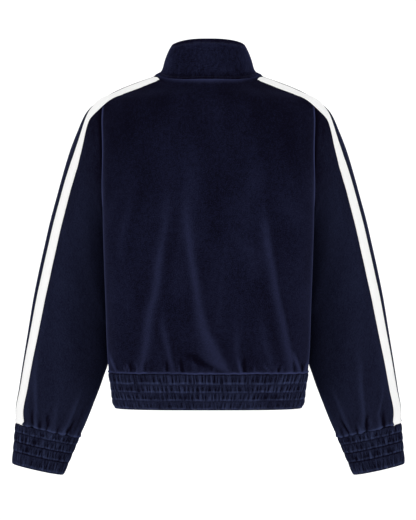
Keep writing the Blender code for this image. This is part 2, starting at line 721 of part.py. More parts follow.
def cloth(name, outer, inner, closed, flip, material):
    """A wall of cloth between an outer and an inner grid, with rims along its edges.

    The outer grid may have several rows or columns for each of the inner one. flip turns
    the faces where the columns run the other way round.
    """
    rows, columns = outer.shape[:2]
    inner_rows, inner_columns = inner.shape[:2]
    outer_index = np.arange(rows * columns).reshape(rows, columns)
    inner_index = np.arange(inner_rows * inner_columns).reshape(inner_rows, inner_columns)
    inner_index = inner_index + rows * columns
    if closed:
        outer_index = np.concatenate([outer_index, outer_index[:, :1]], axis=1)
        inner_index = np.concatenate([inner_index, inner_index[:, :1]], axis=1)
    outer_index, inner_index = outer_index.tolist(), inner_index.tolist()
    faces = grid_faces(rows, columns, 0, closed, flip)
    faces += grid_faces(inner_rows, inner_columns, rows * columns, closed, not flip)
    faces += rim_faces(outer_index[0], inner_index[0], flip)
    faces += rim_faces(outer_index[-1], inner_index[-1], not flip)
    if not closed:
        left, inner_left = [row[0] for row in outer_index], [row[0] for row in inner_index]
        right, inner_right = [row[-1] for row in outer_index], [row[-1] for row in inner_index]
        faces += rim_faces(left, inner_left, not flip)
        faces += rim_faces(right, inner_right, flip)
    vertices = np.concatenate([outer.reshape(-1, 3), inner.reshape(-1, 3)])
    return new_object(name, vertices, faces, material)


def offset_strip(points, normals, near, far):
    """Two grids of a strip that lies on a surface: its outer points and its inner ones."""
    return points + normals * far, points + normals * near


def walk_on_torso(points, across, distance):
    """Move points over the torso's surface by distances, square to the directions across."""
    for _ in range(WALK_STEPS):
        normals = torso_normal(points)
        points = points + unit(np.cross(normals, across)) * (distance / WALK_STEPS)[..., None]
        for _ in range(3):
            reach = 0.1 * MM
            ahead = torso_field(points + normals * reach) - torso_field(points - normals * reach)
            miss = (torso_field(points) - 1.0) * 2.0 * reach / ahead
            points = points - normals * miss[..., None]
    return points


def shoulder_strip_rows():
    """Points and normals across the stripe at places along the shoulder, from the neck out."""
    places = np.array(SHOULDER_BEHIND) * CM
    x = np.linspace(places[0, 0], places[-1, 0], SHOULDER_STEPS)
    levels, half_widths = CM * np.array(SHOULDER_RIDGE)[:, :2].T
    level = np.interp(x, half_widths, levels)
    ridge = np.stack([x, torso_sizes(level)["widest_y"], level], axis=-1)
    along = unit(np.gradient(ridge, axis=0))
    start = smooth_curve(places[:, 0], places[:, 1], x)
    distance = start[:, None] + np.linspace(0.0, STRIPE_WIDTH, STRIPE_STEPS)
    ridge = np.repeat(ridge[:, None, :], STRIPE_STEPS, axis=1)
    points = walk_on_torso(ridge, along[:, None, :], distance)
    return points, torso_normal(points)


def sleeve_strip_rows(folds):
    """Points and normals across the stripe at places down the left sleeve."""
    shares = np.linspace(0.0, 1.0, SLEEVE_RINGS)
    shares[0] = FIRST_SHARE_ON_SLEEVE
    share, angle = np.meshgrid(shares, SLEEVE_BACK_ANGLES, indexing="ij")
    rings = sleeve_points(share, angle)
    normals = strip_normals(rings)
    lift = sleeve_fold_lift(share, angle, folds)
    lift = lift * np.clip(share / 0.1, 0.0, 1.0) * np.clip((1.0 - share) / 0.03, 0.0, 1.0)
    rings = rings + normals * lift[..., None]
    behind = np.array(SLEEVE_BEHIND)
    starts = smooth_curve(behind[:, 0], behind[:, 1] * CM, shares)
    across = np.linspace(0.0, 1.0, STRIPE_STEPS) * STRIPE_WIDTH
    down = unit(np.gradient(rings[:, 0], axis=0))
    points, outward = [], []
    for ring, normal, start, way in zip(rings, normals, starts, down):
        length = lengths_along(ring, way)
        for found, rows in ((points, ring), (outward, normal)):
            read = [np.interp(start + across, length, rows[:, i]) for i in range(3)]
            found.append(np.stack(read, axis=-1))
    return np.array(points), unit(np.array(outward))


def stripe_grids(folds):
    """Outer and inner points of the stripe on the left shoulder and sleeve."""
    shoulder, shoulder_normals = shoulder_strip_rows()
    sleeve, sleeve_normals = sleeve_strip_rows(folds)
    points = np.concatenate([shoulder, sleeve])
    normals = np.concatenate([shoulder_normals, sleeve_normals])
    from_seam = np.abs(np.arange(len(points)) - (SHOULDER_STEPS - 0.5))
    near_seam = np.clip(2.0 - from_seam / 1.5, 0.0, 1.0)[:, None, None]
    gap = STRIPE_GAP + (STRIPE_GAP_AT_ARMHOLE - STRIPE_GAP) * near_seam
    return offset_strip(points, normals, gap, gap + STRIPE_WALL)


def centre_front(z):
    """y of the jacket's outer surface at the zip, at heights z."""
    front = half_panel(-1, FRONT_COLUMNS)[0][:, -1]
    collar = collar_grid()[0][:, 0]
    line = np.concatenate([front, collar[1:]])
    hem = torso_ring(np.array(-math.pi / 2), WAIST_SEAM - BAND_HEIGHT)
    line = np.concatenate([hem[None, :], line])
    return smooth_curve(line[:, 2], line[:, 1], z)


def forward_of(path):
    """Directions square to a rising path in the middle plane, out of the jacket's front."""
    return np.cross(np.array([1.0, 0.0, 0.0]), unit(np.gradient(path, axis=0)))


def zip_path(bottom, top):
    """Points at the tape's depth behind the front's surface, from the hem to the collar."""
    count = int(round((top - bottom) / ZIP_STEP)) + 1
    z = np.linspace(bottom, top, count)
    behind = np.array(TAPE_BEHIND)
    depth = np.interp(z, behind[:, 0] * CM, behind[:, 1] * MM)
    surface = np.stack([np.zeros(count), centre_front(z), z], axis=-1)
    return surface - forward_of(surface) * depth[:, None]


def swept_bar(name, path, left, right, front, back, material):
    """A bar of rectangular section along the zip's path. front and back are its depths from it."""
    corners = [(left, front), (right, front), (right, back), (left, back)]
    side = np.array([1.0, 0.0, 0.0])
    forward = forward_of(path)
    rings = np.stack([path + side * x - forward * y for x, y in corners], axis=1)
    rows = len(path)
    faces = grid_faces(rows, 4, 0, True, False)
    faces += [(3, 2, 1, 0), tuple(4 * (rows - 1) + k for k in range(4))]
    obj = new_object(name, rings.reshape(-1, 3), faces, material)
    mend = bmesh.new()
    mend.from_mesh(obj.data)
    bmesh.ops.recalc_face_normals(mend, faces=mend.faces)
    mend.to_mesh(obj.data)
    mend.free()
    return obj


def block(name, size, centre, material, bevel=0.0):
    """A box of a size round a centre, with its edges rounded by bevel."""
    bpy.ops.mesh.primitive_cube_add(size=1.0, location=centre)
    obj = bpy.context.object
    obj.name = name
    obj.data.name = name
    obj.scale = size
    bpy.ops.object.transform_apply(location=False, rotation=False, scale=True)
    if bevel:
        rounding = obj.modifiers.new("rounded_edges", "BEVEL")
        rounding.width = bevel
        rounding.segments = 2
    obj.data.materials.append(material)
    for holder in list(obj.users_collection):
        holder.objects.unlink(obj)
    bpy.data.collections[COLLECTION].objects.link(obj)
    return obj


def cutter_block(name, size, centre):
    """A box that only cuts others."""
    obj = block(name, size, centre, bpy.data.materials["metal"])
    obj.hide_render = True
    obj.display_type = "WIRE"
    bpy.data.collections[COLLECTION].objects.unlink(obj)
    bpy.data.collections["cutters"].objects.link(obj)
    return obj


def combine(obj, other, operation):
    """Add another object to this one, or cut it away, exactly."""
    step = obj.modifiers.new(operation.lower() + "_" + other.name, "BOOLEAN")
    step.operation = operation
    step.object = other
    step.solver = "EXACT"


def make_material(name, colour, roughness, metallic=0.0):
    """A Principled material of one colour."""
    material = bpy.data.materials.new(name)
    material.use_nodes = True
    shader = material.node_tree.nodes["Principled BSDF"]
    shader.inputs["Base Color"].default_value = (*colour, 1.0)
    shader.inputs["Roughness"].default_value = roughness
    shader.inputs["Metallic"].default_value = metallic
    material.diffuse_color = (*colour, 1.0)
    return material


def wall_of(name, outer, normals, thickness, flip, material):
    """A plain wall of one thickness inside an outer grid."""
    return cloth(name, outer, outer - normals * thickness, False, flip, material)


def build_body(velour):
    """The back and the two fronts."""
    points, normals = back_grid()
    wall_of("back", points, normals, WALL, False, velour)
    points, normals = front_grid(1)
    wall_of("front_left", points, normals, WALL, True, velour)
    points, normals = front_grid(-1)
    wall_of("front_right", points, normals, WALL, False, velour)


def build_sleeves(velour):
    """The two sleeves and their cuffs."""
    for hand, folds in (("left", LEFT_SLEEVE_FOLDS), ("right", RIGHT_SLEEVE_FOLDS)):
        turned = hand == "right"
        place = mirrored if turned else np.asarray
        points, normals = sleeve_grid(folds)
        inner = points - normals * WALL
        cloth(f"sleeve_{hand}", place(points), place(inner), True, not turned, velour)
        outer, inner = cuff_grids()
        cloth(f"cuff_{hand}", place(outer), place(inner), True, not turned, velour)


def build_stripes(tape):
    """The two stripes, each from the collar over the shoulder to the cuff."""
    for hand, folds in (("left", LEFT_SLEEVE_FOLDS), ("right", RIGHT_SLEEVE_FOLDS)):
        turned = hand == "right"
        place = mirrored if turned else np.asarray
        outer, inner = stripe_grids(folds)
        cloth(f"stripe_{hand}", place(outer), place(inner), False, not turned, tape)


def build_zip(tape, metal):
    """Tapes, chain, bottom box, slider and pull."""
    slider_z = ZIP_TOP_Z - SLIDER_HEIGHT / 2
    wedge_z = ZIP_TOP_Z - WEDGE_HEIGHT / 2
    path = zip_path(ZIP_BOTTOM_Z, ZIP_TOP_Z)
    inner_edge = CHAIN_HALF_WIDTH + SEAM_GAP
    for hand, sign in (("left", 1.0), ("right", -1.0)):
        edges = sorted((sign * inner_edge, sign * TAPE_HALF_WIDTH))
        swept_bar(f"zip_tape_{hand}", path, *edges, 0.0, TAPE_THICKNESS, tape)
    chain_bottom = ZIP_BOTTOM_Z + BOX_HEIGHT + SEAM_GAP
    chain_top = wedge_z - WEDGE_HEIGHT / 2 - SEAM_GAP
    chain = zip_path(chain_bottom, chain_top)
    chain_front = TAPE_THICKNESS - CHAIN_THICKNESS
    swept_bar("zip_chain", chain, -CHAIN_HALF_WIDTH, CHAIN_HALF_WIDTH, chain_front,
              TAPE_THICKNESS, metal)
    centre = path[0] + np.array([0.0, -BOX_IN_FRONT - BOX_THICKNESS / 2, BOX_HEIGHT / 2])
    block("zip_box", (2 * BOX_HALF_WIDTH, BOX_THICKNESS, BOX_HEIGHT), centre, metal, BOX_BEVEL)
    build_slider(metal, slider_z, wedge_z)


def build_slider(metal, slider_z, wedge_z):
    """The slider with its bridge, and the pull, whose origin is put on its axis."""
    tape_y = float(centre_front(np.array(slider_z))) + TAPE_BEHIND[-1][1] * MM
    chain_front = tape_y + TAPE_THICKNESS - CHAIN_THICKNESS
    plate_back = chain_front - SLIDER_CLEARANCE
    plate_front = plate_back - SLIDER_PLATE
    rear_front = tape_y + TAPE_THICKNESS + SLIDER_CLEARANCE
    slider = block("zip_slider", (SLIDER_WIDTH, SLIDER_PLATE, SLIDER_HEIGHT),
                   (0.0, plate_back - SLIDER_PLATE / 2, slider_z), metal)
    rear = cutter_block("slider_rear", (SLIDER_WIDTH, SLIDER_PLATE, SLIDER_HEIGHT),
                        (0.0, rear_front + SLIDER_PLATE / 2, slider_z))
    reach = rear_front - plate_back + SLIDER_PLATE
    wedge = cutter_block("slider_wedge", (WEDGE_WIDTH, reach, WEDGE_HEIGHT),
                         (0.0, (rear_front + plate_back) / 2, wedge_z))
    axis_y = plate_front - BRIDGE_HOLE_HEIGHT / 2
    bridge_length = BRIDGE_HOLE_LENGTH + 2 * BRIDGE_BAR
    bridge_height = BRIDGE_HOLE_HEIGHT + BRIDGE_BAR
    sunk = SLIDER_PLATE / 2
    bridge = cutter_block("slider_bridge", (BRIDGE_WIDTH, bridge_height + sunk, bridge_length),
                          (0.0, plate_front + (sunk - bridge_height) / 2, slider_z))
    hole_size = (2 * BRIDGE_WIDTH, BRIDGE_HOLE_HEIGHT, BRIDGE_HOLE_LENGTH)
    hole = cutter_block("slider_hole", hole_size, (0.0, axis_y, slider_z))
    for added in (wedge, rear, bridge):
        combine(slider, added, "UNION")
    combine(slider, hole, "DIFFERENCE")
    length = PULL_LENGTH + PULL_BAR_RADIUS
    pull = block("zip_pull", (PULL_WIDTH, PULL_THICKNESS, length),
                 (0.0, axis_y, slider_z + PULL_BAR_RADIUS - length / 2), metal)
    window_size = (PULL_WINDOW_WIDTH, 4 * PULL_THICKNESS, PULL_WINDOW_LENGTH)
    window_z = slider_z - PULL_BAR_RADIUS - PULL_WINDOW_LENGTH / 2
    combine(pull, cutter_block("pull_window", window_size, (0.0, axis_y, window_z)), "DIFFERENCE")
    bpy.context.scene.cursor.location = (0.0, axis_y, slider_z)
    bpy.ops.object.select_all(action="DESELECT")
    pull.select_set(True)
    bpy.context.view_layer.objects.active = pull
    bpy.ops.object.origin_set(type="ORIGIN_CURSOR")


def build_jacket():
    """Clear the scene and build every piece."""
    for obj in list(bpy.data.objects):
        bpy.data.objects.remove(obj, do_unlink=True)
    for name in (COLLECTION, "cutters"):
        bpy.context.scene.collection.children.link(bpy.data.collections.new(name))
    velour = make_material("navy_velour", NAVY, 0.9)
    stripe = make_material("off_white_tape", OFF_WHITE, 0.75)
    tape = make_material("zip_tape", TAPE_NAVY, 0.85)
    metal = make_material("metal", METAL, 0.35, 1.0)
    build_body(velour)
    build_sleeves(velour)
    points, normals = collar_grid()
    wall_of("collar", points, normals, COLLAR_WALL, False, velour)
    outer, inner = band_grids()
    cloth("waistband", outer, inner, False, True, velour)
    build_stripes(stripe)
    build_zip(tape, metal)


build_jacket()
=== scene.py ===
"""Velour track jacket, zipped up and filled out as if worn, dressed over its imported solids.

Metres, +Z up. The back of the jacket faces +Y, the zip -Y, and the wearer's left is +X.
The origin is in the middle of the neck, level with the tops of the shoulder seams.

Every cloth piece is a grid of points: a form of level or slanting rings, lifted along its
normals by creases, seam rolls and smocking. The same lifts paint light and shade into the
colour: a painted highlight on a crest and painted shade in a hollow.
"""

import logging
import math
from dataclasses import dataclass, field, replace
from enum import Enum

import bpy
import numpy as np
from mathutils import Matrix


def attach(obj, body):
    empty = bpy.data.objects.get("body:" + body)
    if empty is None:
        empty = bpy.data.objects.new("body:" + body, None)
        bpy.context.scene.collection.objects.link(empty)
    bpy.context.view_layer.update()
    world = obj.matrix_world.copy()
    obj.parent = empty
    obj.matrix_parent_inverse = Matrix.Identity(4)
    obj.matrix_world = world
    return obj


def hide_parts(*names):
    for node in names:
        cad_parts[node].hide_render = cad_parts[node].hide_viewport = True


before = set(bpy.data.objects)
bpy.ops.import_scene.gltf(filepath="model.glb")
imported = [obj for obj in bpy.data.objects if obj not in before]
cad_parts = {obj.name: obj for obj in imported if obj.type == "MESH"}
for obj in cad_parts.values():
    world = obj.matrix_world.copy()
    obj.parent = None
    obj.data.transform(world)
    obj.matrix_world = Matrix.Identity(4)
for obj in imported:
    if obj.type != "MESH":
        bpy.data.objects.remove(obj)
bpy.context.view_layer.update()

Array = np.ndarray
Pair = tuple[Array, Array]
Table = tuple[tuple[float, ...], ...]
Triple = tuple[float, float, float]
Colour = Triple
Material = bpy.types.Material
Piece = bpy.types.Object
Socket = bpy.types.NodeSocket
LOG = logging.getLogger("track_jacket")
CM = 0.01
MM = 0.001
TURN = 2.0 * math.pi
QUARTER = 0.5 * math.pi
FOLD_ROWS = 6
# Painted shade on the fold and inner wall of a doubled cuff or band, as if in shadow
INNER_SHADE = -0.1


class Hand(Enum):
    """The wearer's left, at +X, or right, at -X."""

    LEFT = 1
    RIGHT = -1

    @property
    def word(self) -> str:
        """The hand's word in the names of pieces."""
        return self.name.lower()

    def place(self, points: Array) -> Array:
        """Points made for the left hand, moved to this hand."""
        return points * np.array([float(self.value), 1.0, 1.0])


class Side(Enum):
    """The half of the torso that a panel belongs to."""

    BACK = 1
    FRONT = -1


# ---- curves and grids


def smooth_curve(knots: Array, values: Array, at: Array) -> Array:
    """Smooth curve through values at rising knots: cubic pieces whose slopes never overshoot.

    Args:
        knots: Rising places.
        values: The value at each knot.
        at: Places to read, held at the end values outside the knots.

    Returns:
        The curve's values.
    """
    knots = np.asarray(knots, float)
    values = np.asarray(values, float)
    step = np.diff(knots)
    slope = np.diff(values) / step
    tangent = np.empty_like(values)
    tangent[0], tangent[-1] = slope[0], slope[-1]
    product = slope[:-1] * slope[1:]
    total = np.where(product > 0, slope[:-1] + slope[1:], 1.0)
    tangent[1:-1] = np.where(product > 0, 2.0 * product / total, 0.0)
    i = np.clip(np.searchsorted(knots, at) - 1, 0, len(step) - 1)
    t = np.clip((at - knots[i]) / step[i], 0.0, 1.0)
    leave = t * (1.0 - t) ** 2 * step[i] * tangent[i]
    arrive = t**2 * (t - 1.0) * step[i] * tangent[i + 1]
    held = (1.0 + 2.0 * t) * (1.0 - t) ** 2 * values[i]
    return held + t**2 * (3.0 - 2.0 * t) * values[i + 1] + leave + arrive


def unit(vectors: Array) -> Array:
    """Vectors scaled to length 1."""
    return vectors / np.maximum(np.linalg.norm(vectors, axis=-1, keepdims=True), 1e-12)


def bell(distance: Array, half_width: Array | float) -> Array:
    """A bump of height 1 that falls to 0.37 at its half width."""
    return np.exp(-((distance / half_width) ** 2))


def ease(share: Array | float) -> Array:
    """A smooth step from 0 to 1: three squares less two cubes of the clipped share."""
    share = np.clip(share, 0.0, 1.0)
    return share * share * (3.0 - 2.0 * share)


@dataclass(frozen=True)
class Bump:
    """A bell of a height and half width, centred at a place."""

    height: float
    width: float
    at: float = 0.0

    def over(self, distance: Array) -> Array:
        """The bump's height at each distance."""
        return self.height * bell(distance - self.at, self.width)


@dataclass(frozen=True)
class Ramp:
    """A share that rises from 0 at its start to 1 a length further on."""

    start: float
    length: float

    def over(self, place: Array) -> Array:
        """The share at each place, held at 0 and 1 outside the ramp."""
        return np.clip((place - self.start) / self.length, 0.0, 1.0)


SHOULDER_FREE = Ramp(20.0, 25.0)


def below_shoulder(turn: Array) -> Array:
    """0 near the top of the armhole, easing to 1 at 45 degrees from it on either side."""
    away = np.abs((np.degrees(turn) + 180.0) % 360.0 - 180.0)
    return ease(SHOULDER_FREE.over(away))


def fine_steps(count: int, first: bool, last: bool, depth: float = 0.08) -> Array:
    """Shares from 0 to 1 whose steps ease down to a fifth towards the first or last end.

    Args:
        count: How many steps.
        first: True to shrink the steps near 0.
        last: True to shrink the steps near 1.
        depth: The share of the steps that shrink.

    Returns:
        The shares.
    """
    middle = (np.arange(count) + 0.5) / count
    step = np.ones(count)
    for wanted, near in ((first, middle), (last, 1.0 - middle)):
        step *= 0.2 + 0.8 * ease(near / depth) if wanted else 1.0
    shares = np.concatenate([[0.0], np.cumsum(step)])
    return shares / shares[-1]


def lengths_along(points: Array, axis: int = 0) -> Array:
    """Length down a grid's columns (axis 0) or along its rows (1): the running sum of steps."""
    steps = np.linalg.norm(np.diff(points, axis=axis, prepend=points.take([0], axis)), axis=-1)
    return np.cumsum(steps, axis=axis)


def read_along(at: Array, along: Array, rows: Array) -> Array:
    """Points or normals known along a line, read at other lengths by straight steps between."""
    return np.stack([np.interp(at, along, rows[:, i]) for i in range(3)], axis=-1)


def wander(turn: Array, seed: int, waves: tuple[int, ...] = (2, 5, 9, 14, 23)) -> Array:
    """Uneven wave round a ring, about -1 to 1: a sum of sines, each with a phase of its own.

    Args:
        turn: Places round it, in radians.
        seed: Picks the phases.
        waves: How many times each sine goes round.

    Returns:
        The wave at each place.
    """
    phases = np.random.default_rng(seed).uniform(0.0, TURN, len(waves))
    sizes = 1.0 / np.sqrt(waves)
    parts = [s * np.sin(w * turn + p) for s, w, p in zip(sizes, waves, phases)]
    return 1.6 * sum(parts) / sizes.sum()


def grid_quads(rows: int, columns: int, closed: bool) -> Array:
    """Corner numbers of the quads of a grid, row by row.

    Args:
        rows: Rows of points.
        columns: Points in each row.
        closed: True where the last column joins the first.

    Returns:
        One row of four point numbers for each quad.
    """
    across = columns if closed else columns - 1
    r, c = np.meshgrid(np.arange(rows - 1), np.arange(across), indexing="ij")
    a = r * columns + c
    b = r * columns + (c + 1) % columns
    return np.stack([a, b, b + columns, a + columns], axis=-1).reshape(-1, 4)


def repeated(quads: Array, points: int, count: int) -> Array:
    """Quads of a block made many times, whose point numbers go up by its points each time."""
    offsets = points * np.arange(count)
    return (quads[None] + offsets[:, None, None]).reshape(-1, 4)


@dataclass
class Patch:
    """A grid of cloth: points, outward normals, painted light and shade, and whether rows close."""

    points: Array
    closed: bool = False
    outward: float = 1.0
    # Painted light and shade at each point: highlights on crests and rolls, shade in hollows and seams
    painted_shading: Array | None = None

    def __post_init__(self) -> None:
        """Start with no painted light or shade."""
        if self.painted_shading is None:
            self.painted_shading = np.zeros(self.points.shape[:2])

    def normals(self) -> Array:
        """Outward normals: the cross product of the steps up the grid and along its rows.

        Returns:
            A unit vector at each point.
        """
        up = np.gradient(self.points, axis=0)
        if self.closed:
            along = np.roll(self.points, -1, axis=1) - np.roll(self.points, 1, axis=1)
        else:
            along = np.gradient(self.points, axis=1)
        return self.outward * unit(np.cross(up, along))

    def lifted(self, height: Array, shade: Array | float = 0.0) -> "Patch":
        """The same cloth moved out along its normals, with painted shading added."""
        points = self.points + self.normals() * height[..., None]
        return replace(self, points=points, painted_shading=self.painted_shading + shade)

    def placed(self, hand: Hand) -> "Patch":
        """The patch on a hand's side, with its faces still pointing out."""
        return replace(self, points=hand.place(self.points), outward=self.outward * hand.value)

    def flat_uv(self) -> Array:
        """Each corner's place on the cloth in metres.

        Returns:
            Two coordinates for each of the four corners of every quad.
        """
        points = self.points
        if self.closed:
            points = np.concatenate([points, points[:, :1]], axis=1)
        middle = points.shape[0] // 2
        u = np.broadcast_to(lengths_along(points, 1)[middle], points.shape[:2])
        v = lengths_along(points)
        uv = np.stack([u, v], axis=-1)
        corners = [uv[:-1, :-1], uv[:-1, 1:], uv[1:, 1:], uv[1:, :-1]]
        return np.stack(corners, axis=2).reshape(-1, 4, 2)


def mesh_object(
    name: str, vertices: Array, quads: Array, material: Material,
    painted_shading: Array | None = None, uv: Array | None = None,
) -> Piece:
    """A smooth-shaded object from arrays.

    Args:
        name: The piece's name.
        vertices: Its points, with x, y and z last.
        quads: Four point numbers for each face, anticlockwise from outside.
        material: Its finish.
        painted_shading: The painted light and shade at each point.
        uv: Four places on the cloth for each face.

    Returns:
        The object, linked to the scene.
    """
    mesh = bpy.data.meshes.new(name)
    mesh.from_pydata(vertices.reshape(-1, 3), [], quads.tolist())
    if uv is not None:
        layer = mesh.uv_layers.new(name="cloth")
        layer.data.foreach_set("uv", uv.astype(np.float32).ravel())
    if painted_shading is not None:
        # Painted light and shade, kept as a point attribute that the materials read
        shade = mesh.attributes.new("painted_shading", "FLOAT", "POINT")
        shade.data.foreach_set("value", painted_shading.astype(np.float32).ravel())
    mesh.shade_smooth()
    mesh.materials.append(material)
    obj = bpy.data.objects.new(name, mesh)
    bpy.context.scene.collection.objects.link(obj)
    return obj


def cloth_object(
    name: str, patch: Patch, material: Material, thickness: float = 0.0
) -> Piece:
    """A piece of cloth from a patch, given a thickness inwards by Solidify.

    Args:
        name: The piece's name.
        patch: Its outer surface.
        material: Its finish.
        thickness: The cloth's thickness, or 0 where the patch is folded over already.

    Returns:
        The object.
    """
    rows, columns = patch.points.shape[:2]
    quads = grid_quads(rows, columns, patch.closed)
    uv = patch.flat_uv()
    if patch.outward > 0:
        quads, uv = quads[:, ::-1], uv[:, ::-1]
    obj = mesh_object(name, patch.points, quads, material, patch.painted_shading, uv)
    if thickness:
        wall = obj.modifiers.new("thickness", "SOLIDIFY")
        wall.thickness = thickness
        wall.offset = -1.0
    return obj


def own(obj: Piece, slot: str, *nodes: str, body: str = "jacket") -> None:
    """Put a piece on its body, and hide and log the CAD nodes that it stands for.

    Args:
        obj: The piece.
        slot: Not used.
        *nodes: CAD nodes that the piece replaces.
        body: The body that it rides on.
    """
    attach(obj, body)
    if nodes:
        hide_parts(*nodes)
    LOG.info("%s: %d faces, for %s", obj.name, len(obj.data.polygons), ", ".join(nodes) or "-")


def doubled(plain: Patch, outer: Patch, thickness: float, step: int, inside: float) -> Patch:
    """Doubled cloth: down its outer rows, round a fold and back along a plain inner wall.

    The fold is half an oval, drawn out along the plain cloth's last step.

    Args:
        plain: The plain cloth, from the seam to the fold.
        outer: The same cloth with its relief, which may end a row earlier.
        thickness: Distance from the plain cloth to the inner wall.
        step: Every how many rows the inner wall has one.
        inside: The painted shade of the fold and of the inner wall.

    Returns:
        All the rows.
    """
    wall = plain.points - plain.normals() * thickness
    inner = np.concatenate([wall[:-1:step], wall[-1:]])
    first, last = outer.points[-1], inner[-1]
    middle = 0.5 * (first + last)
    reach = 0.5 * np.linalg.norm(first - last, axis=-1, keepdims=True)
    ahead = unit(plain.points[-1] - plain.points[-2]) * reach
    angle = np.linspace(0.0, math.pi, FOLD_ROWS + 2)[1:-1, None, None]
    fold = middle + (first - middle) * np.cos(angle) + ahead * np.sin(angle)
    rows = np.concatenate([outer.points, fold, inner[::-1]])
    rest = np.full((len(rows) - len(outer.painted_shading), rows.shape[1]), inside)
    return replace(plain, points=rows, painted_shading=np.concatenate([outer.painted_shading, rest]))


# ---- creases, rolls and smocking


@dataclass(frozen=True)
class Crease:
    """A soft ridge, or with a height below 0 a trough, along a line from its lower end up.

    Places are (across, up): centimetres on the torso, and on a sleeve degrees round it and
    minus the share of its length. left is the half width towards larger across, and spread
    is how many times wider it grows towards the lower end.
    """

    line: Table
    left: float
    right: float
    height: float
    # How strong the painted highlight on the crest is; below 0, painted shade along a trough
    shade: float = 0.0
    fade_low: float = 0.08
    fade_high: float = 0.6
    spread: float = 0.0

    def shares(self, across: Array, up: Array, wrap: float = 0.0) -> Pair:
        """How far the crest has faded at each place, and a bell across its line.

        Args:
            across: Places across.
            up: Places up.
            wrap: The length of one turn where across runs round a ring.

        Returns:
            The fade, 0 past the crease's ends, and the bell.
        """
        places = np.array(self.line)
        middle = smooth_curve(places[:, 1], places[:, 0], up)
        away = across - middle
        if wrap:
            away = (away + wrap / 2) % wrap - wrap / 2
        rise = (up - places[0, 1]) / (places[-1, 1] - places[0, 1])
        fade = np.clip((rise + self.fade_low) / (self.fade_low + 1e-6), 0.0, 1.0)
        fade = ease(fade * np.clip((1.0 - rise) / self.fade_high, 0.0, 1.0))
        left = self.left * (1.0 + self.spread * np.clip(1.0 - rise, 0.0, 1.0) ** 4)
        return fade, bell(away, np.where(away > 0, left, self.right))


Creases = tuple[Crease, ...]


def crease_lift(
    creases: Creases, across: Array, up: Array, wrap: float = 0.0
) -> Pair:
    """All the creases: each paints a narrow highlight on its crest, between two weaker bands of painted
    shade, and the other way round in a trough.

    Args:
        creases: The creases.
        across: Places across, in their own unit.
        up: Places up, in their own unit.
        wrap: The length of one turn where across runs round a ring.

    Returns:
        Heights in metres, and shades.
    """
    height = shade = 0.0
    for crease in creases:
        fade, share = crease.shares(across, up, wrap)
        height = height + crease.height * CM * fade * share
        # Painted highlight on the crest between two bands of painted shade
        line = 2.45 * share**1.4 - 0.62 * share**0.35
        shade = shade + crease.shade * fade**0.8 * line
    return height, shade


def pucker_creases(
    table: Table, seam: float
) -> Creases:
    """Short creases that stand on a gathered seam, all in centimetres.

    Args:
        table: Where each starts across, its lean to its tip, its length and its height.
        seam: The seam's level.

    Returns:
        The creases.
    """
    made = []
    for start, lean, length, height in table:
        middle = (start + 0.6 * lean, seam + length / 2)
        line = ((start, seam), middle, (start + lean, seam + length))
        width = 0.20 + 0.04 * length
        # Painted highlight on a raised pucker, painted shade in a sunk one
        shade = (3.6 if height > 0.0 else 2.6) * height
        made.append(Crease(line, width, width, height, shade, 0.02, 0.6))
    return tuple(made)


@dataclass(frozen=True)
class SeamRoll:
    """Cloth beside a seam: it rolls over a low crest and down into the seam."""

    crest: float = 0.7 * MM
    crest_at: float = 3.6 * MM
    crest_width: float = 2.6 * MM
    sink: float = 1.8 * MM
    sink_width: float = 1.5 * MM
    # shade, lit_at and dark set the painted highlight near the crest and the painted shade in the seam
    shade: float = 0.25
    lit_at: float = 1.0
    dark: float = 0.6

    def lift(self, distance: Array) -> Array:
        """Height at a distance from the seam: a bell for the crest less one for the seam."""
        crest = self.crest * bell(distance - self.crest_at, self.crest_width)
        return crest - self.sink * bell(distance, self.sink_width)

    def painted_roll_shading(self, distance: Array) -> Array:
        """Painted shading at a distance from the seam: a painted highlight on or below the crest, painted
        shade in the seam.
        """
        light = Bump(self.shade, self.lit_at * self.crest_width, self.lit_at * self.crest_at)
        return light.over(distance) - self.dark * bell(distance, self.sink_width)


# Sines that break up the painted highlights on crests: waves for each gather, and how steeply they climb
BROKEN_WAVES = ((0.43, 2.0), (0.71, -3.0), (1.37, 4.5), (1.83, -6.0), (2.3, 9.0))
ROW_SEEDS = 100


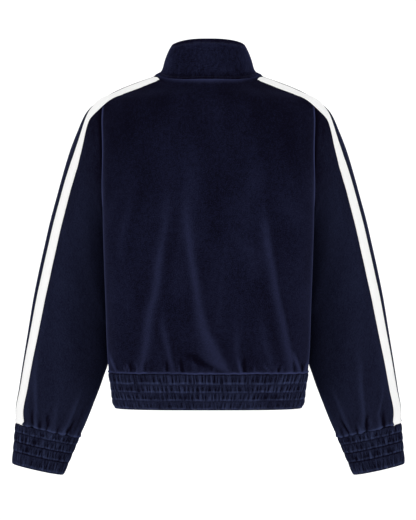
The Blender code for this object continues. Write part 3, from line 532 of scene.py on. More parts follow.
@dataclass(frozen=True)
class Smocking:
    """Cloth gathered by rows of elastic stitches: low puffs between them, pleated upright.

    stitches are the rows' places down the height, and softness is how strong the pleats are
    in each row between them.
    """

    stitches: tuple[float, ...]
    gathers: int
    proud: float
    dip: float
    depth: float
    seed: int
    softness: tuple[float, ...]
    lean: float = 2.0
    leans_both_ways: bool = False
    # Painted shade along each row of stitches, and along the seam
    row_painted_shade: float = 0.9
    seam_row_painted_shade: float = 0.2

    def lift(self, share: Array, turn: Array) -> Pair:
        """Height and shade: a puff hangs from each row of stitches, cut by uneven pleats.

        A puff is the root of a sine of the share of its row, warped so that it is fullest near
        its lower edge, where it turns under. A crest gets a painted highlight as a power of its
        pleat, broken up by sines, and more so lower down. Each row ends in a painted highlight
        along its wavy lower edge, over a line of painted shade.

        Args:
            share: Places down the height, from 0 to 1.
            turn: Places round it, in radians.

        Returns:
            Heights in metres, and shades.
        """
        rows = np.asarray(self.stitches)
        row = np.clip(np.searchsorted(rows, share, side="right") - 1, 0, len(rows) - 2)
        inside = np.clip((share - rows[row]) / (rows[row + 1] - rows[row]), 0.0, 1.0)
        arch = np.sin(math.pi * inside**1.3) ** 0.5
        cut = np.zeros(np.broadcast(share, turn).shape)
        shade = np.zeros_like(cut)
        for k, soft in enumerate(self.softness):
            here = row == k
            pleat, strong = self.pleats(turn, inside, k, soft)
            cut += here * arch * (1.0 - pleat) * strong
            # Painted highlight on the pleats' crests, broken up, with painted shade between them
            crests = 1.4 * strong * pleat**3 + 0.48 * self.broken(turn, inside, k) - 0.62 * soft
            shade += here * arch * crests * (0.5 + 0.6 * inside)
            seed = self.seed + ROW_SEEDS * k
            # Painted highlight along each row's wavy lower edge, and painted shade along its stitches
            edge = 0.85 + 0.6 * wander(turn, seed + 3, (19, 37, 61, 97))
            low = 0.88 + 0.035 * wander(turn, seed + 5, (11, 23, 41))
            shade += here * 1.1 * edge * bell(inside - low, 0.075)
            shade -= here * (self.row_painted_shade if k else self.seam_row_painted_shade) * bell(inside, 0.07)
        height = self.proud * (1.0 - 0.8 * share) - self.dip * (1.0 - arch) - self.depth * cut
        return height, shade

    def pleats(self, turn: Array, inside: Array, row: int, soft: float) -> Pair:
        """The pleats of a row: the absolute cosine of half a phase that wanders and leans.

        Args:
            turn: Places round it, in radians.
            inside: Places down the row, from 0 to 1.
            row: The row's number.
            soft: How strong its pleats are.

        Returns:
            1 on a crest and 0 between two, and the strength at each place.
        """
        seed = self.seed + ROW_SEEDS * row
        phase = self.gathers * turn + 2.4 * wander(turn, seed)
        phase = phase + 1.3 * wander(turn, seed + 4, (37, 53, 71))
        leaning = -self.lean * (np.sin(turn) if self.leans_both_ways else 1.0)
        slant = leaning + 1.5 * wander(turn, seed + 1, (3, 7, 16, 31))
        phase = phase + (inside - 0.5) * slant
        strong = 0.8 + 0.45 * wander(turn, seed + 2, (5, 13, 29, 53))
        return np.abs(np.cos(0.5 * phase)), np.clip(strong, 0.35, 1.25) * soft

    def broken(self, turn: Array, inside: Array, row: int) -> Array:
        """What breaks up the painted highlights on a row's crests: a sum of sines that slant across it."""
        sines = (int(w * self.gathers) * turn + rise * inside + 7.0 * w * row for w, rise in BROKEN_WAVES)
        return sum(0.35 * np.sin(phase) for phase in sines)


# ---- the forms of the cloth


@dataclass(frozen=True)
class TorsoForm:
    """The torso as one surface of level rings, and the seams that cut the panels out of it.

    Each row of rings holds, in centimetres, the level, half width, y of the widest points,
    y of the back and front, then the roundness of the back and front and how far the point
    at the centre is rounded off.
    """

    rings: Table = (
        (-61.0, 17.10, 3.6, 10.2, -11.4, 2.9, 2.0, 0.0),
        (-56.5, 17.45, 3.7, 10.3, -11.6, 2.9, 2.0, 0.0),
        (-53.4, 17.85, 3.8, 10.5, -11.9, 2.9, 2.0, 0.0),
        (-49.4, 18.17, 4.0, 10.8, -12.2, 2.9, 2.0, 0.0),
        (-40.6, 18.47, 4.0, 10.7, -12.3, 2.9, 2.0, 0.0),
        (-33.0, 18.75, 4.0, 10.7, -12.5, 2.9, 2.0, 0.0),
        (-25.5, 18.95, 4.0, 10.9, -12.7, 2.8, 2.0, 0.0),
        (-20.0, 19.05, 3.9, 11.0, -12.6, 2.7, 2.0, 0.0),
        (-14.0, 19.16, 3.5, 11.0, -11.7, 2.5, 2.0, 0.0),
        (-10.0, 19.35, 2.8, 10.6, -10.2, 2.3, 2.0, 0.5),
        (-7.0, 19.60, 2.1, 9.9, -8.4, 1.87, 1.9, 1.5),
        (-4.4, 19.85, 1.5, 8.8, -6.4, 1.30, 1.6, 3.0),
        (-3.55, 18.05, 1.3, 8.2, -5.6, 1.15, 1.45, 3.5),
        (-2.45, 15.80, 1.1, 7.3, -4.5, 1.05, 1.35, 3.5),
        (-1.0, 12.10, 0.9, 5.8, -2.9, 1.05, 1.3, 3.5),
        (0.0, 9.10, 0.8, 4.8, -1.6, 1.05, 1.3, 3.0),
        (1.5, 4.50, 0.7, 3.0, -0.4, 1.05, 1.3, 1.5),
    )
    neck_half_width: float = 9.10 * CM
    neck_y: float = 0.80 * CM
    neck_back: float = 5.60 * CM
    neck_front: float = 9.20 * CM
    neck_back_power: float = 1.7
    neck_front_power: float = 2.1
    back_bend_from: float = -9.0 * CM
    front_bend_from: float = -18.0 * CM
    waist_seam: float = -53.4 * CM
    armhole_y: float = -0.20 * CM
    armhole_z: float = -14.95 * CM
    armhole_half_depth: float = 5.60 * CM
    armhole_half_height: float = 10.55 * CM
    side_seam_y: float = -0.20 * CM
    zip_half_opening: float = 0.50 * CM
    corner_sink: Bump = Bump(1.8 * MM, 15.0 * MM)
    lowest_of_neck: float = -16.0 * CM
    halvings: int = 40
    fine_count: int = 400

    def sizes(self, level: Array) -> dict[str, Array]:
        """Sizes of the rings, as smooth curves through the table.

        Args:
            level: Heights of the rings.

        Returns:
            By name, the sizes in metres and the powers.
        """
        table = np.array(self.rings)
        names = ("half_width", "widest_y", "back_y", "front_y", "back_power", "front_power", "round")
        at = np.asarray(level) / CM
        found = {}
        for i, name in enumerate(names, start=1):
            scale = 1.0 if name.endswith("power") else CM
            found[name] = smooth_curve(table[:, 0], table[:, i], at) * scale
        return found

    def depth_and_power(self, s: dict[str, Array], behind: Array) -> Pair:
        """Depth from the widest point and the power, of the back or the front half."""
        depth = np.where(behind, s["back_y"] - s["widest_y"], s["widest_y"] - s["front_y"])
        return depth, np.where(behind, s["back_power"], s["front_power"])

    def across(self, s: dict[str, Array], share: Array) -> Array:
        """x where the distance from the middle, rounded off there, is a share of the whole."""
        reach = np.sqrt(s["half_width"] ** 2 + s["round"] ** 2) - s["round"]
        return np.sqrt((reach * share + s["round"]) ** 2 - s["round"] ** 2)

    def ring(self, angle: Array, level: Array) -> Array:
        """Points of a superellipse: -90 degrees is the centre front, 0 the side, 90 the back.

        Args:
            angle: Places round the ring, in radians.
            level: Height of the ring.

        Returns:
            The points, all at +X.
        """
        s = self.sizes(level)
        behind = angle >= 0.0
        depth, power = self.depth_and_power(s, behind)
        x = self.across(s, np.abs(np.cos(angle)) ** (2.0 / power))
        along = np.abs(np.sin(angle)) ** (2.0 / power)
        y = s["widest_y"] + np.where(behind, 1.0, -1.0) * depth * along
        return np.stack([x, y, np.broadcast_to(level, x.shape)], axis=-1)

    def field(self, points: Array) -> Array:
        """The sum of two powers of the shares of the half width and depth.

        Args:
            points: Points anywhere.

        Returns:
            Below 1 inside the torso, and 1 on its surface.
        """
        s = self.sizes(points[..., 2])
        offset = points[..., 1] - s["widest_y"]
        depth, power = self.depth_and_power(s, offset >= 0.0)
        reach = np.sqrt(s["half_width"] ** 2 + s["round"] ** 2) - s["round"]
        near = np.sqrt(points[..., 0] ** 2 + s["round"] ** 2) - s["round"]
        return (near / reach) ** power + (np.abs(offset) / depth) ** power

    def normal(self, points: Array) -> Array:
        """Outward normals at some points: the slope of the field along each axis."""
        steps = 0.4 * MM * np.eye(3)
        return unit(np.stack([self.field(points + a) - self.field(points - a) for a in steps], -1))

    def neck_drop(self, angle: Array) -> Array:
        """How far below the shoulder's top the oval of the neck crosses the torso, by halving.

        Args:
            angle: Places round the torso, in radians.

        Returns:
            The distance down at each.
        """
        low = np.full(np.shape(angle), self.lowest_of_neck)
        high = np.zeros(np.shape(angle))
        depth = np.where(angle >= 0.0, self.neck_back, self.neck_front)
        power = np.where(angle >= 0.0, self.neck_back_power, self.neck_front_power)
        for _ in range(self.halvings):
            middle = 0.5 * (low + high)
            points = self.ring(angle, middle)
            share = (points[..., 0] / self.neck_half_width) ** power
            share = share + (np.abs(points[..., 1] - self.neck_y) / depth) ** power
            low = np.where(share > 1.0, middle, low)
            high = np.where(share > 1.0, high, middle)
        return -0.5 * (low + high)

    def armhole(self, turn: Array) -> Pair:
        """The armhole's oval, narrowed a little and leaning to the ridge at its top.

        Args:
            turn: Places round it in radians, 0 at the shoulder and a quarter turn behind.

        Returns:
            y and z there.
        """
        top = self.armhole_z + self.armhole_half_height
        lean = self.sizes(top)["widest_y"] - self.armhole_y
        y = self.armhole_y + lean * np.clip(np.cos(turn), 0.0, 1.0) ** 4
        from_top = np.abs((turn + math.pi) % TURN - math.pi)
        y = y + self.armhole_half_depth * np.sin(turn) * (1.0 - 0.22 * bell(from_top, 1.0))
        return y, self.armhole_z + self.armhole_half_height * np.cos(turn)

    def armhole_points(self, turn: Array) -> Array:
        """Points of the torso's surface round the armhole.

        Args:
            turn: Places round it, in radians.

        Returns:
            The points, at +X.
        """
        y, z = self.armhole(turn)
        s = self.sizes(z)
        offset = y - s["widest_y"]
        depth, power = self.depth_and_power(s, offset >= 0.0)
        share = (1.0 - (np.abs(offset) / depth) ** power) ** (1.0 / power)
        return np.stack([self.across(s, share), y, z], axis=-1)

    def corner_depth(self, points: Array) -> Array:
        """How far cloth at +X sinks round the top of the armhole: a bell of the distance to it."""
        top = self.armhole_points(np.array([0.0]))[0]
        return self.corner_sink.over(np.linalg.norm(points - top, axis=-1))

    def corner_sunk(self, points: Array) -> Array:
        """The torso's surface sunk along its normals round the top of either armhole.

        Args:
            points: Points of the surface, on both sides.

        Returns:
            The points moved in.
        """
        side = np.where(points[..., :1] < 0.0, (-1.0, 1.0, 1.0), 1.0)
        left = points * side
        return (left - self.normal(left) * self.corner_depth(left)[..., None]) * side

    def rows(self, spacing: float) -> Pair:
        """Levels of a panel's rows from the waist seam up, and the armhole's turn at each.

        Args:
            spacing: Distance between rows.

        Returns:
            Levels, and turns: pi below the armhole and 0 above it.
        """
        bottom = self.armhole_z - self.armhole_half_height
        count = int((bottom - self.waist_seam) / spacing)
        below = self.waist_seam + (bottom - self.waist_seam) * fine_steps(count, True, False)[:-1]
        fine = np.linspace(math.pi, 0.0, 2001)
        near_top = 0.3 + 0.7 * np.sin(fine) / math.sin(0.6)
        dense = np.cumsum(np.where(fine < 0.6, near_top, 1.0))
        dense = (dense - dense[0]) / (dense[-1] - dense[0])
        count = int(0.92 * math.pi * self.armhole_half_height / spacing)
        turn = np.interp(np.linspace(0.0, 1.0, count + 1), dense, fine)
        beside = self.armhole(turn)[1]
        count = int(-2.0 * beside[-1] / spacing)
        above = beside[-1] * (1.0 - fine_steps(count, False, True, 0.3)[1:])
        turns = [np.full(len(below), math.pi), turn, np.zeros(len(above))]
        return np.concatenate([below, beside, above]), np.concatenate(turns)

    def bent_row(self, angle: Array, level: float, drop: Array) -> Array:
        """A level row that bends down near the top, by a power of how high it is up the bend."""
        start = np.where(angle >= 0.0, self.back_bend_from, self.front_bend_from)
        return self.ring(angle, level - drop * np.clip((level - start) / -start, 0.0, 1.0) ** 1.5)

    def half_turn(self) -> Array:
        """Angles from the centre front to the centre back, closest together at the side."""
        quarter = QUARTER * np.linspace(0.0, 1.0, self.fine_count) ** 1.5
        return np.concatenate([-quarter[:0:-1], quarter])

    def zip_edge(self, fine: Array) -> float:
        """Length along a fine half ring, from the centre front to the zip's edge."""
        front = slice(0, self.fine_count)
        return np.interp(self.zip_half_opening, fine[front, 0], lengths_along(fine)[front])

    def half_panel(self, side: Side, columns: int, spacing: float) -> Array:
        """Half the back, or a front, at +X from its side edge in, divided evenly along its rows.

        Args:
            side: The back or the front.
            columns: Steps across.
            spacing: Distance between rows.

        Returns:
            A grid of points, from the waist seam up.
        """
        angles = self.half_turn()
        drops = self.neck_drop(angles)
        grid = []
        for level, turn in zip(*self.rows(spacing)):
            if turn == math.pi:
                seam_y = self.side_seam_y
            elif turn == 0.0:
                seam_y = float(self.sizes(level)["widest_y"])
            else:
                seam_y = float(self.armhole(side.value * turn)[0])
            at_seam = np.interp(seam_y, self.ring(angles, level)[:, 1], angles)
            drop = np.maximum(drops - np.interp(at_seam, angles, drops), 0.0)
            fine = self.bent_row(angles, level, drop)
            along = lengths_along(fine)
            middle = along[-1] if side is Side.BACK else self.zip_edge(fine)
            start = np.interp(at_seam, angles, along)
            shares = fine_steps(columns, True, side is Side.FRONT, 0.1)
            places = start + (middle - start) * shares
            angle = np.interp(places, along, angles)
            grid.append(self.bent_row(angle, level, np.interp(angle, angles, drop)))
        return self.evened(np.array(grid), int(np.argmin(self.rows(spacing)[1])))

    def evened(self, grid: Array, top: int) -> Array:
        """Rows near the armhole's top averaged with their neighbours, but for the side edge.

        Args:
            grid: The rows of a panel.
            top: The number of the row at the armhole's top.

        Returns:
            The grid.
        """
        near = np.clip(1.0 - np.abs(np.arange(len(grid)) - top) / 18.0, 0.0, 1.0)
        inner = np.clip(np.arange(grid.shape[1]) / 8.0, 0.0, 1.0)
        weight = 0.5 * (near[:, None] * inner)[1:-1, :, None]
        for _ in range(30):
            middle = 0.5 * (grid[:-2] + grid[2:])
            grid[1:-1] += weight * (middle - grid[1:-1])
        return grid

    def band_ring(self, level: float, count: int) -> Pair:
        """A ring from the zip's left side round the back to its right side, evenly divided.

        Args:
            level: Height of the ring.
            count: Steps round it.

        Returns:
            The points, and the length from the start to each.
        """
        angles = self.half_turn()
        fine = self.ring(angles, level)
        along = lengths_along(fine)
        start = self.zip_edge(fine)
        places = np.linspace(start, 2.0 * along[-1] - start, count + 1)
        near = np.minimum(places, 2.0 * along[-1] - places)
        points = self.ring(np.interp(near, along, angles), level)
        points[:, 0] *= np.where(places > along[-1], -1.0, 1.0)
        return points, places - start


@dataclass(frozen=True)
class SleeveForm:
    """The left sleeve as slanting sections from the armhole to the cuff.

    Each row holds, in centimetres, x and z of the section's outer and inner ends, y of its
    middle and its half depth, then its roundness.
    """

    torso: TorsoForm
    sections: Table = (
        (20.00, -4.40, 18.90, -25.50, -0.20, 5.60, 2.0),
        (22.35, -6.85, 18.75, -26.00, -0.70, 5.60, 2.0),
        (23.95, -10.15, 18.55, -26.70, -1.30, 5.50, 2.0),
        (25.25, -13.40, 18.35, -27.70, -1.80, 5.10, 2.0),
        (26.60, -17.70, 18.15, -29.50, -2.30, 4.85, 2.0),
        (27.85, -22.10, 18.00, -32.00, -2.70, 4.70, 2.0),
        (29.05, -26.45, 17.90, -34.90, -3.00, 4.60, 2.0),
        (30.10, -30.90, 17.85, -38.00, -3.30, 4.55, 2.0),
        (31.10, -35.30, 17.85, -41.30, -3.50, 4.55, 2.0),
        (32.20, -40.75, 17.95, -45.80, -3.60, 4.45, 2.1),
        (33.10, -46.30, 18.05, -50.60, -3.60, 4.35, 2.1),
        (34.00, -51.80, 19.38, -55.30, -3.60, 4.15, 2.1),
        (34.80, -57.00, 21.15, -60.00, -3.60, 3.80, 2.1),
        (35.42, -61.40, 22.75, -64.00, -3.50, 3.05, 2.1),
        (35.30, -63.35, 23.75, -65.95, -3.40, 2.55, 2.1),
    )
    cuff_end: tuple[float, ...] = (36.05, -70.40, 26.40, -72.55, -3.20, 2.35, 2.1)
    armhole_blend: float = 0.22

    def section(self, sizes: Array, angle: Array) -> Array:
        """Points of superellipses at angles from the outer end (0) round the back (90).

        Args:
            sizes: The seven sizes in centimetres, in the last place of the array.
            angle: Angles in radians.

        Returns:
            The points in metres.
        """
        outer_x, outer_z, inner_x, inner_z, middle_y, half_depth, power = np.moveaxis(sizes, -1, 0)
        across = np.sign(np.cos(angle)) * np.abs(np.cos(angle)) ** (2.0 / power)
        along = np.sign(np.sin(angle)) * np.abs(np.sin(angle)) ** (2.0 / power)
        x = 0.5 * (outer_x + inner_x) + 0.5 * (outer_x - inner_x) * across
        z = 0.5 * (outer_z + inner_z) + 0.5 * (outer_z - inner_z) * across
        return CM * np.stack([x, middle_y + half_depth * along, z], axis=-1)

    def points(self, share: Array, angle: Array) -> Array:
        """Points of the sleeve, shifted near the top so that they meet the armhole.

        Args:
            share: Shares of the length, from 0 at the armhole to 1 at the cuff.
            angle: Angles round it, in radians.

        Returns:
            The points.
        """
        table = np.array(self.sections)
        knots = lengths_along(table[:, :2])
        columns = [smooth_curve(knots / knots[-1], table[:, i], share) for i in range(7)]
        points = self.section(np.stack(columns, axis=-1), angle)
        first = self.section(np.broadcast_to(table[0], (*np.shape(angle), 7)), angle)
        shift = self.torso.armhole_points(angle) - first
        fade = np.clip(1.0 - share / self.armhole_blend, 0.0, 1.0) ** 2
        return points + shift * fade[..., None]

    def cuff_points(self, share: Array, angle: Array) -> Array:
        """Points of the cuff, at shares of its height from the seam and angles round it."""
        start, end = np.array(self.sections[-1]), np.array(self.cuff_end)
        return self.section(start + (end - start) * share[..., None], angle)


# ---- finishes


class Nodes:
    """Builds a material's nodes and links by name."""

    def __init__(self, name: str) -> None:
        """Start a material with its Principled shader.

        Args:
            name: The material's name.
        """
        self.material = bpy.data.materials.new(name)
        self.material.use_nodes = True
        self.tree = self.material.node_tree
        self.shader = self.tree.nodes["Principled BSDF"]

    def add(self, kind: str, **settings: object) -> bpy.types.Node:
        """A new node.

        Args:
            kind: Its type, without the prefix that they share.
            **settings: Values of its properties.

        Returns:
            The node.
        """
        node = self.tree.nodes.new(f"ShaderNode{kind}")
        for key, value in settings.items():
            setattr(node, key, value)
        return node

    def link(self, source: Socket, target: Socket) -> None:
        """Join an output to an input."""
        self.tree.links.new(source, target)

    def set(self, **values: object) -> None:
        """Constant values on the shader's own sockets, with _ for a space."""
        for key, value in values.items():
            self.shader.inputs[key.replace("_", " ")].default_value = value

    def place(self, coordinates: str) -> Socket:
        """Places on the piece: UV, in metres on the cloth, or Object."""
        return self.add("TexCoord").outputs[coordinates]

    def noise(self, place: Socket, waves: Triple, detail: float = 2.0) -> Socket:
        """Noise from 0 to 1 whose scale differs by direction.

        Args:
            place: Where it is read.
            waves: Waves in a metre along each axis.
            detail: How many finer layers it has.

        Returns:
            The noise.
        """
        mapping = self.add("Mapping")
        mapping.inputs["Scale"].default_value = waves
        self.link(place, mapping.inputs["Vector"])
        noise = self.add("TexNoise")
        noise.inputs["Scale"].default_value = 1.0
        noise.inputs["Detail"].default_value = detail
        self.link(mapping.outputs["Vector"], noise.inputs["Vector"])
        return noise.outputs["Fac"]

    def math(
        self, operation: str, first: Socket | float, second: Socket | float = 0.0, clamp: bool = False
    ) -> Socket:
        """Two values combined by a Math node.

        Args:
            operation: The node's operation.
            first: A socket to link, or a number to set.
            second: The same for its second input.
            clamp: True to keep the result from 0 to 1.

        Returns:
            The result.
        """
        node = self.add("Math", operation=operation, use_clamp=clamp)
        for socket, value in zip(node.inputs, (first, second)):
            if isinstance(value, Socket):
                self.link(value, socket)
            else:
                socket.default_value = value
        return node.outputs[0]

    def colour(self, share: Socket, low: Colour, high: Colour, clamp: bool = True) -> None:
        """Give the shader a base colour between two.

        Args:
            share: 0 for the low colour and 1 for the high one.
            low: The low colour.
            high: The high colour.
            clamp: False to let a share past 1 go on past the high colour.
        """
        node = self.add("Mix", data_type="RGBA", clamp_factor=clamp)
        self.link(share, node.inputs["Factor"])
        node.inputs["A"].default_value = (*low, 1.0)
        node.inputs["B"].default_value = (*high, 1.0)
        self.link(node.outputs["Result"], self.shader.inputs["Base Color"])

    def clouded(self, share: Socket, colour: Colour, least: float) -> None:
        """Give the shader a colour that darkens to the least part of itself, by a share."""
        self.colour(share, tuple(least * c for c in colour), colour)

    def bump(self, height: Socket, strength: float, distance: float) -> None:
        """Tilt the shader's normal by a height.

        Args:
            height: The height, about 0 to 1.
            strength: How strong the tilt is.
            distance: How high 1 stands, in metres.
        """
        node = self.add("Bump")
        node.inputs["Strength"].default_value = strength
        node.inputs["Distance"].default_value = distance
        self.link(height, node.inputs["Height"])
        self.link(node.outputs["Normal"], self.shader.inputs["Normal"])


@dataclass(frozen=True)
class Velour:
    """Cut-pile knit: dark and matt, mottled, with a painted sheen where it turns away from the eye.

    The share from dark to light is the painted light and shade of the point attribute, raised by
    evenness. rim and painted_edge_sheen paint a sheen where the cloth turns away, and mottle is the finer
    clouding.
    """

    name: str
    dark: Colour = (0.0026, 0.0022, 0.0061)
    light: Colour = (0.0135, 0.0154, 0.0393)
    evenness: float = 0.33
    # Painted sheen: the colour lightens where the cloth turns away from the camera
    painted_rim_sheen: float = 0.9
    painted_edge_sheen: float = 2.2
    sheen: float = 0.06
    mottle: float = 0.60
    brightest: float = 2.4

    def build(self) -> Material:
        """Colour between dark and light by the painted shading, clouded at three scales, with a painted
        rim sheen.

        Returns:
            The material.
        """
        n = Nodes(self.name)
        n.set(Roughness=0.95, Specular_IOR_Level=0.0, Sheen_Weight=self.sheen)
        n.set(Sheen_Roughness=0.4, Sheen_Tint=(0.45, 0.5, 1.0, 1.0))
        place = n.place("UV")
        # The painted light and shade of the point attribute
        share = n.add("Attribute", attribute_name="painted_shading").outputs["Fac"]
        share = n.math("ADD", share, self.evenness)
        for waves, amount in (
            ((22.0, 11.0, 1.0), 0.50),
            ((190.0, 120.0, 1.0), self.mottle),
            ((620.0, 520.0, 1.0), 1.75),
        ):
            cloud = n.math("SUBTRACT", n.noise(place, waves), 0.5)
            share = n.math("ADD", share, n.math("MULTIPLY", cloud, amount))
        # Painted sheen, lighter where the surface turns away from the camera
        turned = n.add("LayerWeight").outputs["Facing"]
        for power, amount in ((3.0, self.painted_rim_sheen), (8.0, self.painted_edge_sheen)):
            painted_sheen = n.math("MULTIPLY", n.math("POWER", turned, power), amount)
            share = n.math("ADD", share, painted_sheen)
        share = n.math("MINIMUM", n.math("MAXIMUM", share, 0.0), self.brightest)
        n.colour(share, self.dark, self.light, clamp=False)
        n.bump(n.noise(place, (1500.0, 1100.0, 1.0)), 0.35, 0.5 * MM)
        return n.material


@dataclass(frozen=True)
class WovenTape:
    """Flat woven tape: fine ribs across and along it."""

    name: str
    colour: Colour
    rib: float = 0.55 * MM
    roughness: float = 0.7

    def build(self) -> Material:
        """Ribs are sine waves along both directions of the cloth, in colour and bump.

        Returns:
            The material.
        """
        n = Nodes(self.name)
        n.set(Roughness=self.roughness, Specular_IOR_Level=0.25, Sheen_Weight=0.15)
        place = n.place("UV")
        split = n.add("SeparateXYZ")
        n.link(place, split.inputs[0])
        waves = TURN / self.rib
        along = n.math("SINE", n.math("MULTIPLY", split.outputs["Y"], waves))
        across = n.math("SINE", n.math("MULTIPLY", split.outputs["X"], waves))
        weave = n.math("MULTIPLY", along, across)
        cloudy = n.noise(place, (60.0, 25.0, 1.0), 3.0)
        share = n.math("ADD", n.math("MULTIPLY", weave, 0.25), cloudy, clamp=True)
        n.clouded(share, self.colour, 0.93)
        n.bump(weave, 0.25, 0.2 * MM)
        return n.material


@dataclass(frozen=True)
class Polished:
    """Smooth metal or moulded plastic with faint handling marks."""

    name: str
    colour: Colour
    metallic: float
    roughness: float
    spread: float = 0.22

    def build(self) -> Material:
        """One colour whose roughness varies a little over its surface.

        Returns:
            The material.
        """
        n = Nodes(self.name)
        n.set(Metallic=self.metallic, Specular_IOR_Level=0.5)
        marks = n.noise(n.place("Object"), (420.0, 420.0, 900.0), 4.0)
        n.clouded(marks, self.colour, 0.8)
        rough = n.math("MULTIPLY", marks, self.spread)
        rough = n.math("ADD", rough, self.roughness - 0.5 * self.spread)
        n.link(rough, n.shader.inputs["Roughness"])
        n.bump(marks, 0.05, 0.1 * MM)
        return n.material


@dataclass(frozen=True)
class Plain:
    """A matt surface of one colour with faint clouding, for thread and the studio floor."""

    name: str
    colour: Colour
    roughness: float = 0.8
    waves: float = 900.0

    def build(self) -> Material:
        """One colour, clouded by noise on the object's own coordinates.

        Returns:
            The material.
        """
        n = Nodes(self.name)
        n.set(Roughness=self.roughness, Specular_IOR_Level=0.2)
        n.clouded(n.noise(n.place("Object"), (self.waves,) * 3), self.colour, 0.96)
        return n.material


NAVY_YARN = (0.010, 0.011, 0.024)


def made(finish: Velour | WovenTape | Polished | Plain) -> Material:
    """A dataclass field whose value is a finish's material, built with the wardrobe."""
    return field(default_factory=finish.build)


@dataclass(frozen=True)
class Wardrobe:
    """All the finishes, each built once, in this order."""

    velour: Material = made(Velour("navy_velour"))
    sleeve_velour: Material = made(
        Velour("sleeve_velour", (0.0028, 0.0022, 0.0061), (0.0131, 0.0159, 0.0376), 0.36, 0.45, 0.4)
    )
    collar_velour: Material = made(Velour("collar_velour", evenness=0.31, mottle=1.0))
    smocked: Material = made(Velour("smocked_velour", light=(0.0136, 0.0164, 0.0385), evenness=0.66))
    cuff_velour: Material = made(Velour("cuff_velour", light=(0.0128, 0.0158, 0.0365), evenness=0.66))
    stripe: Material = made(WovenTape("off_white_tape", (0.91, 0.91, 0.905)))
    tape: Material = made(WovenTape("zip_tape", NAVY_YARN))
    teeth: Material = made(Polished("zip_teeth", (0.012, 0.013, 0.030), 0.0, 0.42))
    metal: Material = made(Polished("zip_metal", (0.62, 0.62, 0.64), 1.0, 0.30))
    white_thread: Material = made(Plain("white_thread", (0.80, 0.80, 0.79)))
    navy_thread: Material = made(Plain("navy_thread", NAVY_YARN))


# ---- stitches


@dataclass(frozen=True)
class StitchRow:
    """Topstitching: short raised threads, end to end along a line on the cloth.

    rings are the shares of a thread's length and of its radius, from end to end.
    """

    pitch: float = 3.0 * MM
    filled: float = 0.74
    radius: float = 0.28 * MM
    sides: int = 5
    rings: Table = ((0.0, 0.25), (0.25, 0.9), (0.75, 0.9), (1.0, 0.25))

    def build(self, name: str, lines: list[Pair], material: Material) -> Piece:
        """One object of all the threads along some lines: spindles, half out of the cloth.

        Args:
            name: The piece's name.
            lines: For each line its points and the cloth's outward normals there.
            material: The thread's finish.

        Returns:
            The object.
        """
        turn = np.linspace(0.0, TURN, self.sides, endpoint=False)[:, None]
        blocks = []
        for points, normals in lines:
            along = lengths_along(points)
            count = max(int(along[-1] / self.pitch), 1)
            middle = (np.arange(count) + 0.5) * along[-1] / count
            half = 0.5 * self.filled * self.pitch
            start = read_along(middle - half, along, points)
            end = read_along(middle + half, along, points)
            out = unit(read_along(middle, along, normals))
            sideways = unit(np.cross(end - start, out))
            round_it = out[:, None] * np.cos(turn) + sideways[:, None] * np.sin(turn)
            rings = []
            for share, size in self.rings:
                centre = start + (end - start) * share + out * self.radius * 0.5 * size
                rings.append(centre[:, None] + self.radius * size * round_it)
            blocks.append(np.stack(rings, axis=1))
        threads = np.concatenate(blocks)
        faces = grid_quads(len(self.rings), self.sides, True)[:, ::-1]
        quads = repeated(faces, len(self.rings) * self.sides, len(threads))
        return mesh_object(name, threads, quads, material)


# ---- the torso's panels


BACK_CREASES = (
    Crease((
        (11.9, -53.4), (11, -48.9), (10.2, -42.5), (9.2, -38.9), (8.7, -33.9), (7.95, -29.7), (7.4, -25.4),
        (7.1, -19),
    ), 1.15, 0.95, 0.34, 0.31, 0.05, 0.5),
    Crease((
        (-3.1, -52.9), (-2.2, -51.2), (-1, -48.9), (0.1, -46.9), (1, -44.6), (1.6, -41.8), (2.2, -38),
        (2.9, -34), (3.5, -29.7), (3.9, -26.5), (4.3, -19.5),
    ), 0.75, 0.95, 0.42, 0.34, 0.02, 0.55, 4),
    Crease((
        (-14.8, -53.4), (-14.6, -51), (-13.9, -48.4), (-13.1, -44.2), (-12.2, -40.3), (-11.4, -35.6),
        (-10.7, -31.4), (-9.9, -25.8), (-9.5, -21),
    ), 1.25, 0.65, 0.34, 0.34, 0.05, 0.4),
    Crease(((6.1, -53.2), (6.9, -50.1), (7.55, -47), (8, -45), (8.2, -42)), 0.7, 0.6, 0.26, 0.3, 0.05),
    Crease(((-2.2, -53.2), (0, -52.2), (2.2, -51), (3.6, -49.6)), 1.5, 1.5, -0.32, -0.3, 0.05, 0.35),
    Crease(((2.2, -53), (2.9, -51), (3.3, -49.5)), 0.35, 0.35, 0.14, 0.2, 0.05),
    Crease(((-5.7, -53.2), (-5.2, -50.4), (-5.1, -47.8), (-4.7, -43)), 0.9, 0.5, 0.16, 0.15),
    Crease(((-11.4, -53), (-10.6, -50.4), (-9.6, -46.4), (-9, -43)), 0.7, 0.9, 0.16, 0.12),
    Crease(((-8.5, -36.2), (-7.8, -32.7), (-4.8, -29), (-4.2, -27)), 1.8, 1.6, 0.16, 0.07, 0.1),
    Crease(((-1.7, -44), (-2.2, -38.8), (-2.6, -33)), 0.6, 0.8, 0.12, 0.06, 0.2),
    Crease(((15.5, -32), (14.9, -28), (13.8, -23.5), (12.4, -18)), 1, 1, 0.18, 0.11, 0.2),
    Crease(((5.6, -53), (5.9, -46), (6.2, -38)), 1.4, 1.4, -0.16, -0.05, 0.1),
    Crease(((-7.6, -53), (-7.2, -46), (-6.9, -38)), 1.6, 1.6, -0.18, -0.06, 0.1),
    Crease(((16.3, -52), (16.7, -40), (17, -28)), 0.9, 0.9, 0.16, 0.05, 0.1),
    Crease(((3.9, -31), (3.6, -24), (3.3, -17), (3, -8)), 2.2, 2, 0.06, 0.1, 0.5),
    Crease(((-7, -23), (-8.3, -19), (-9, -15)), 2.4, 2.4, 0.08, 0.09, 0.6),
    Crease(((-1, -30), (-2, -22), (-2.4, -12)), 2.2, 2.4, -0.05, -0.03, 0.5),
    Crease(((-16.2, -52), (-16.6, -40), (-16.9, -26)), 1, 1, 0.18, 0.05, 0.1),
)
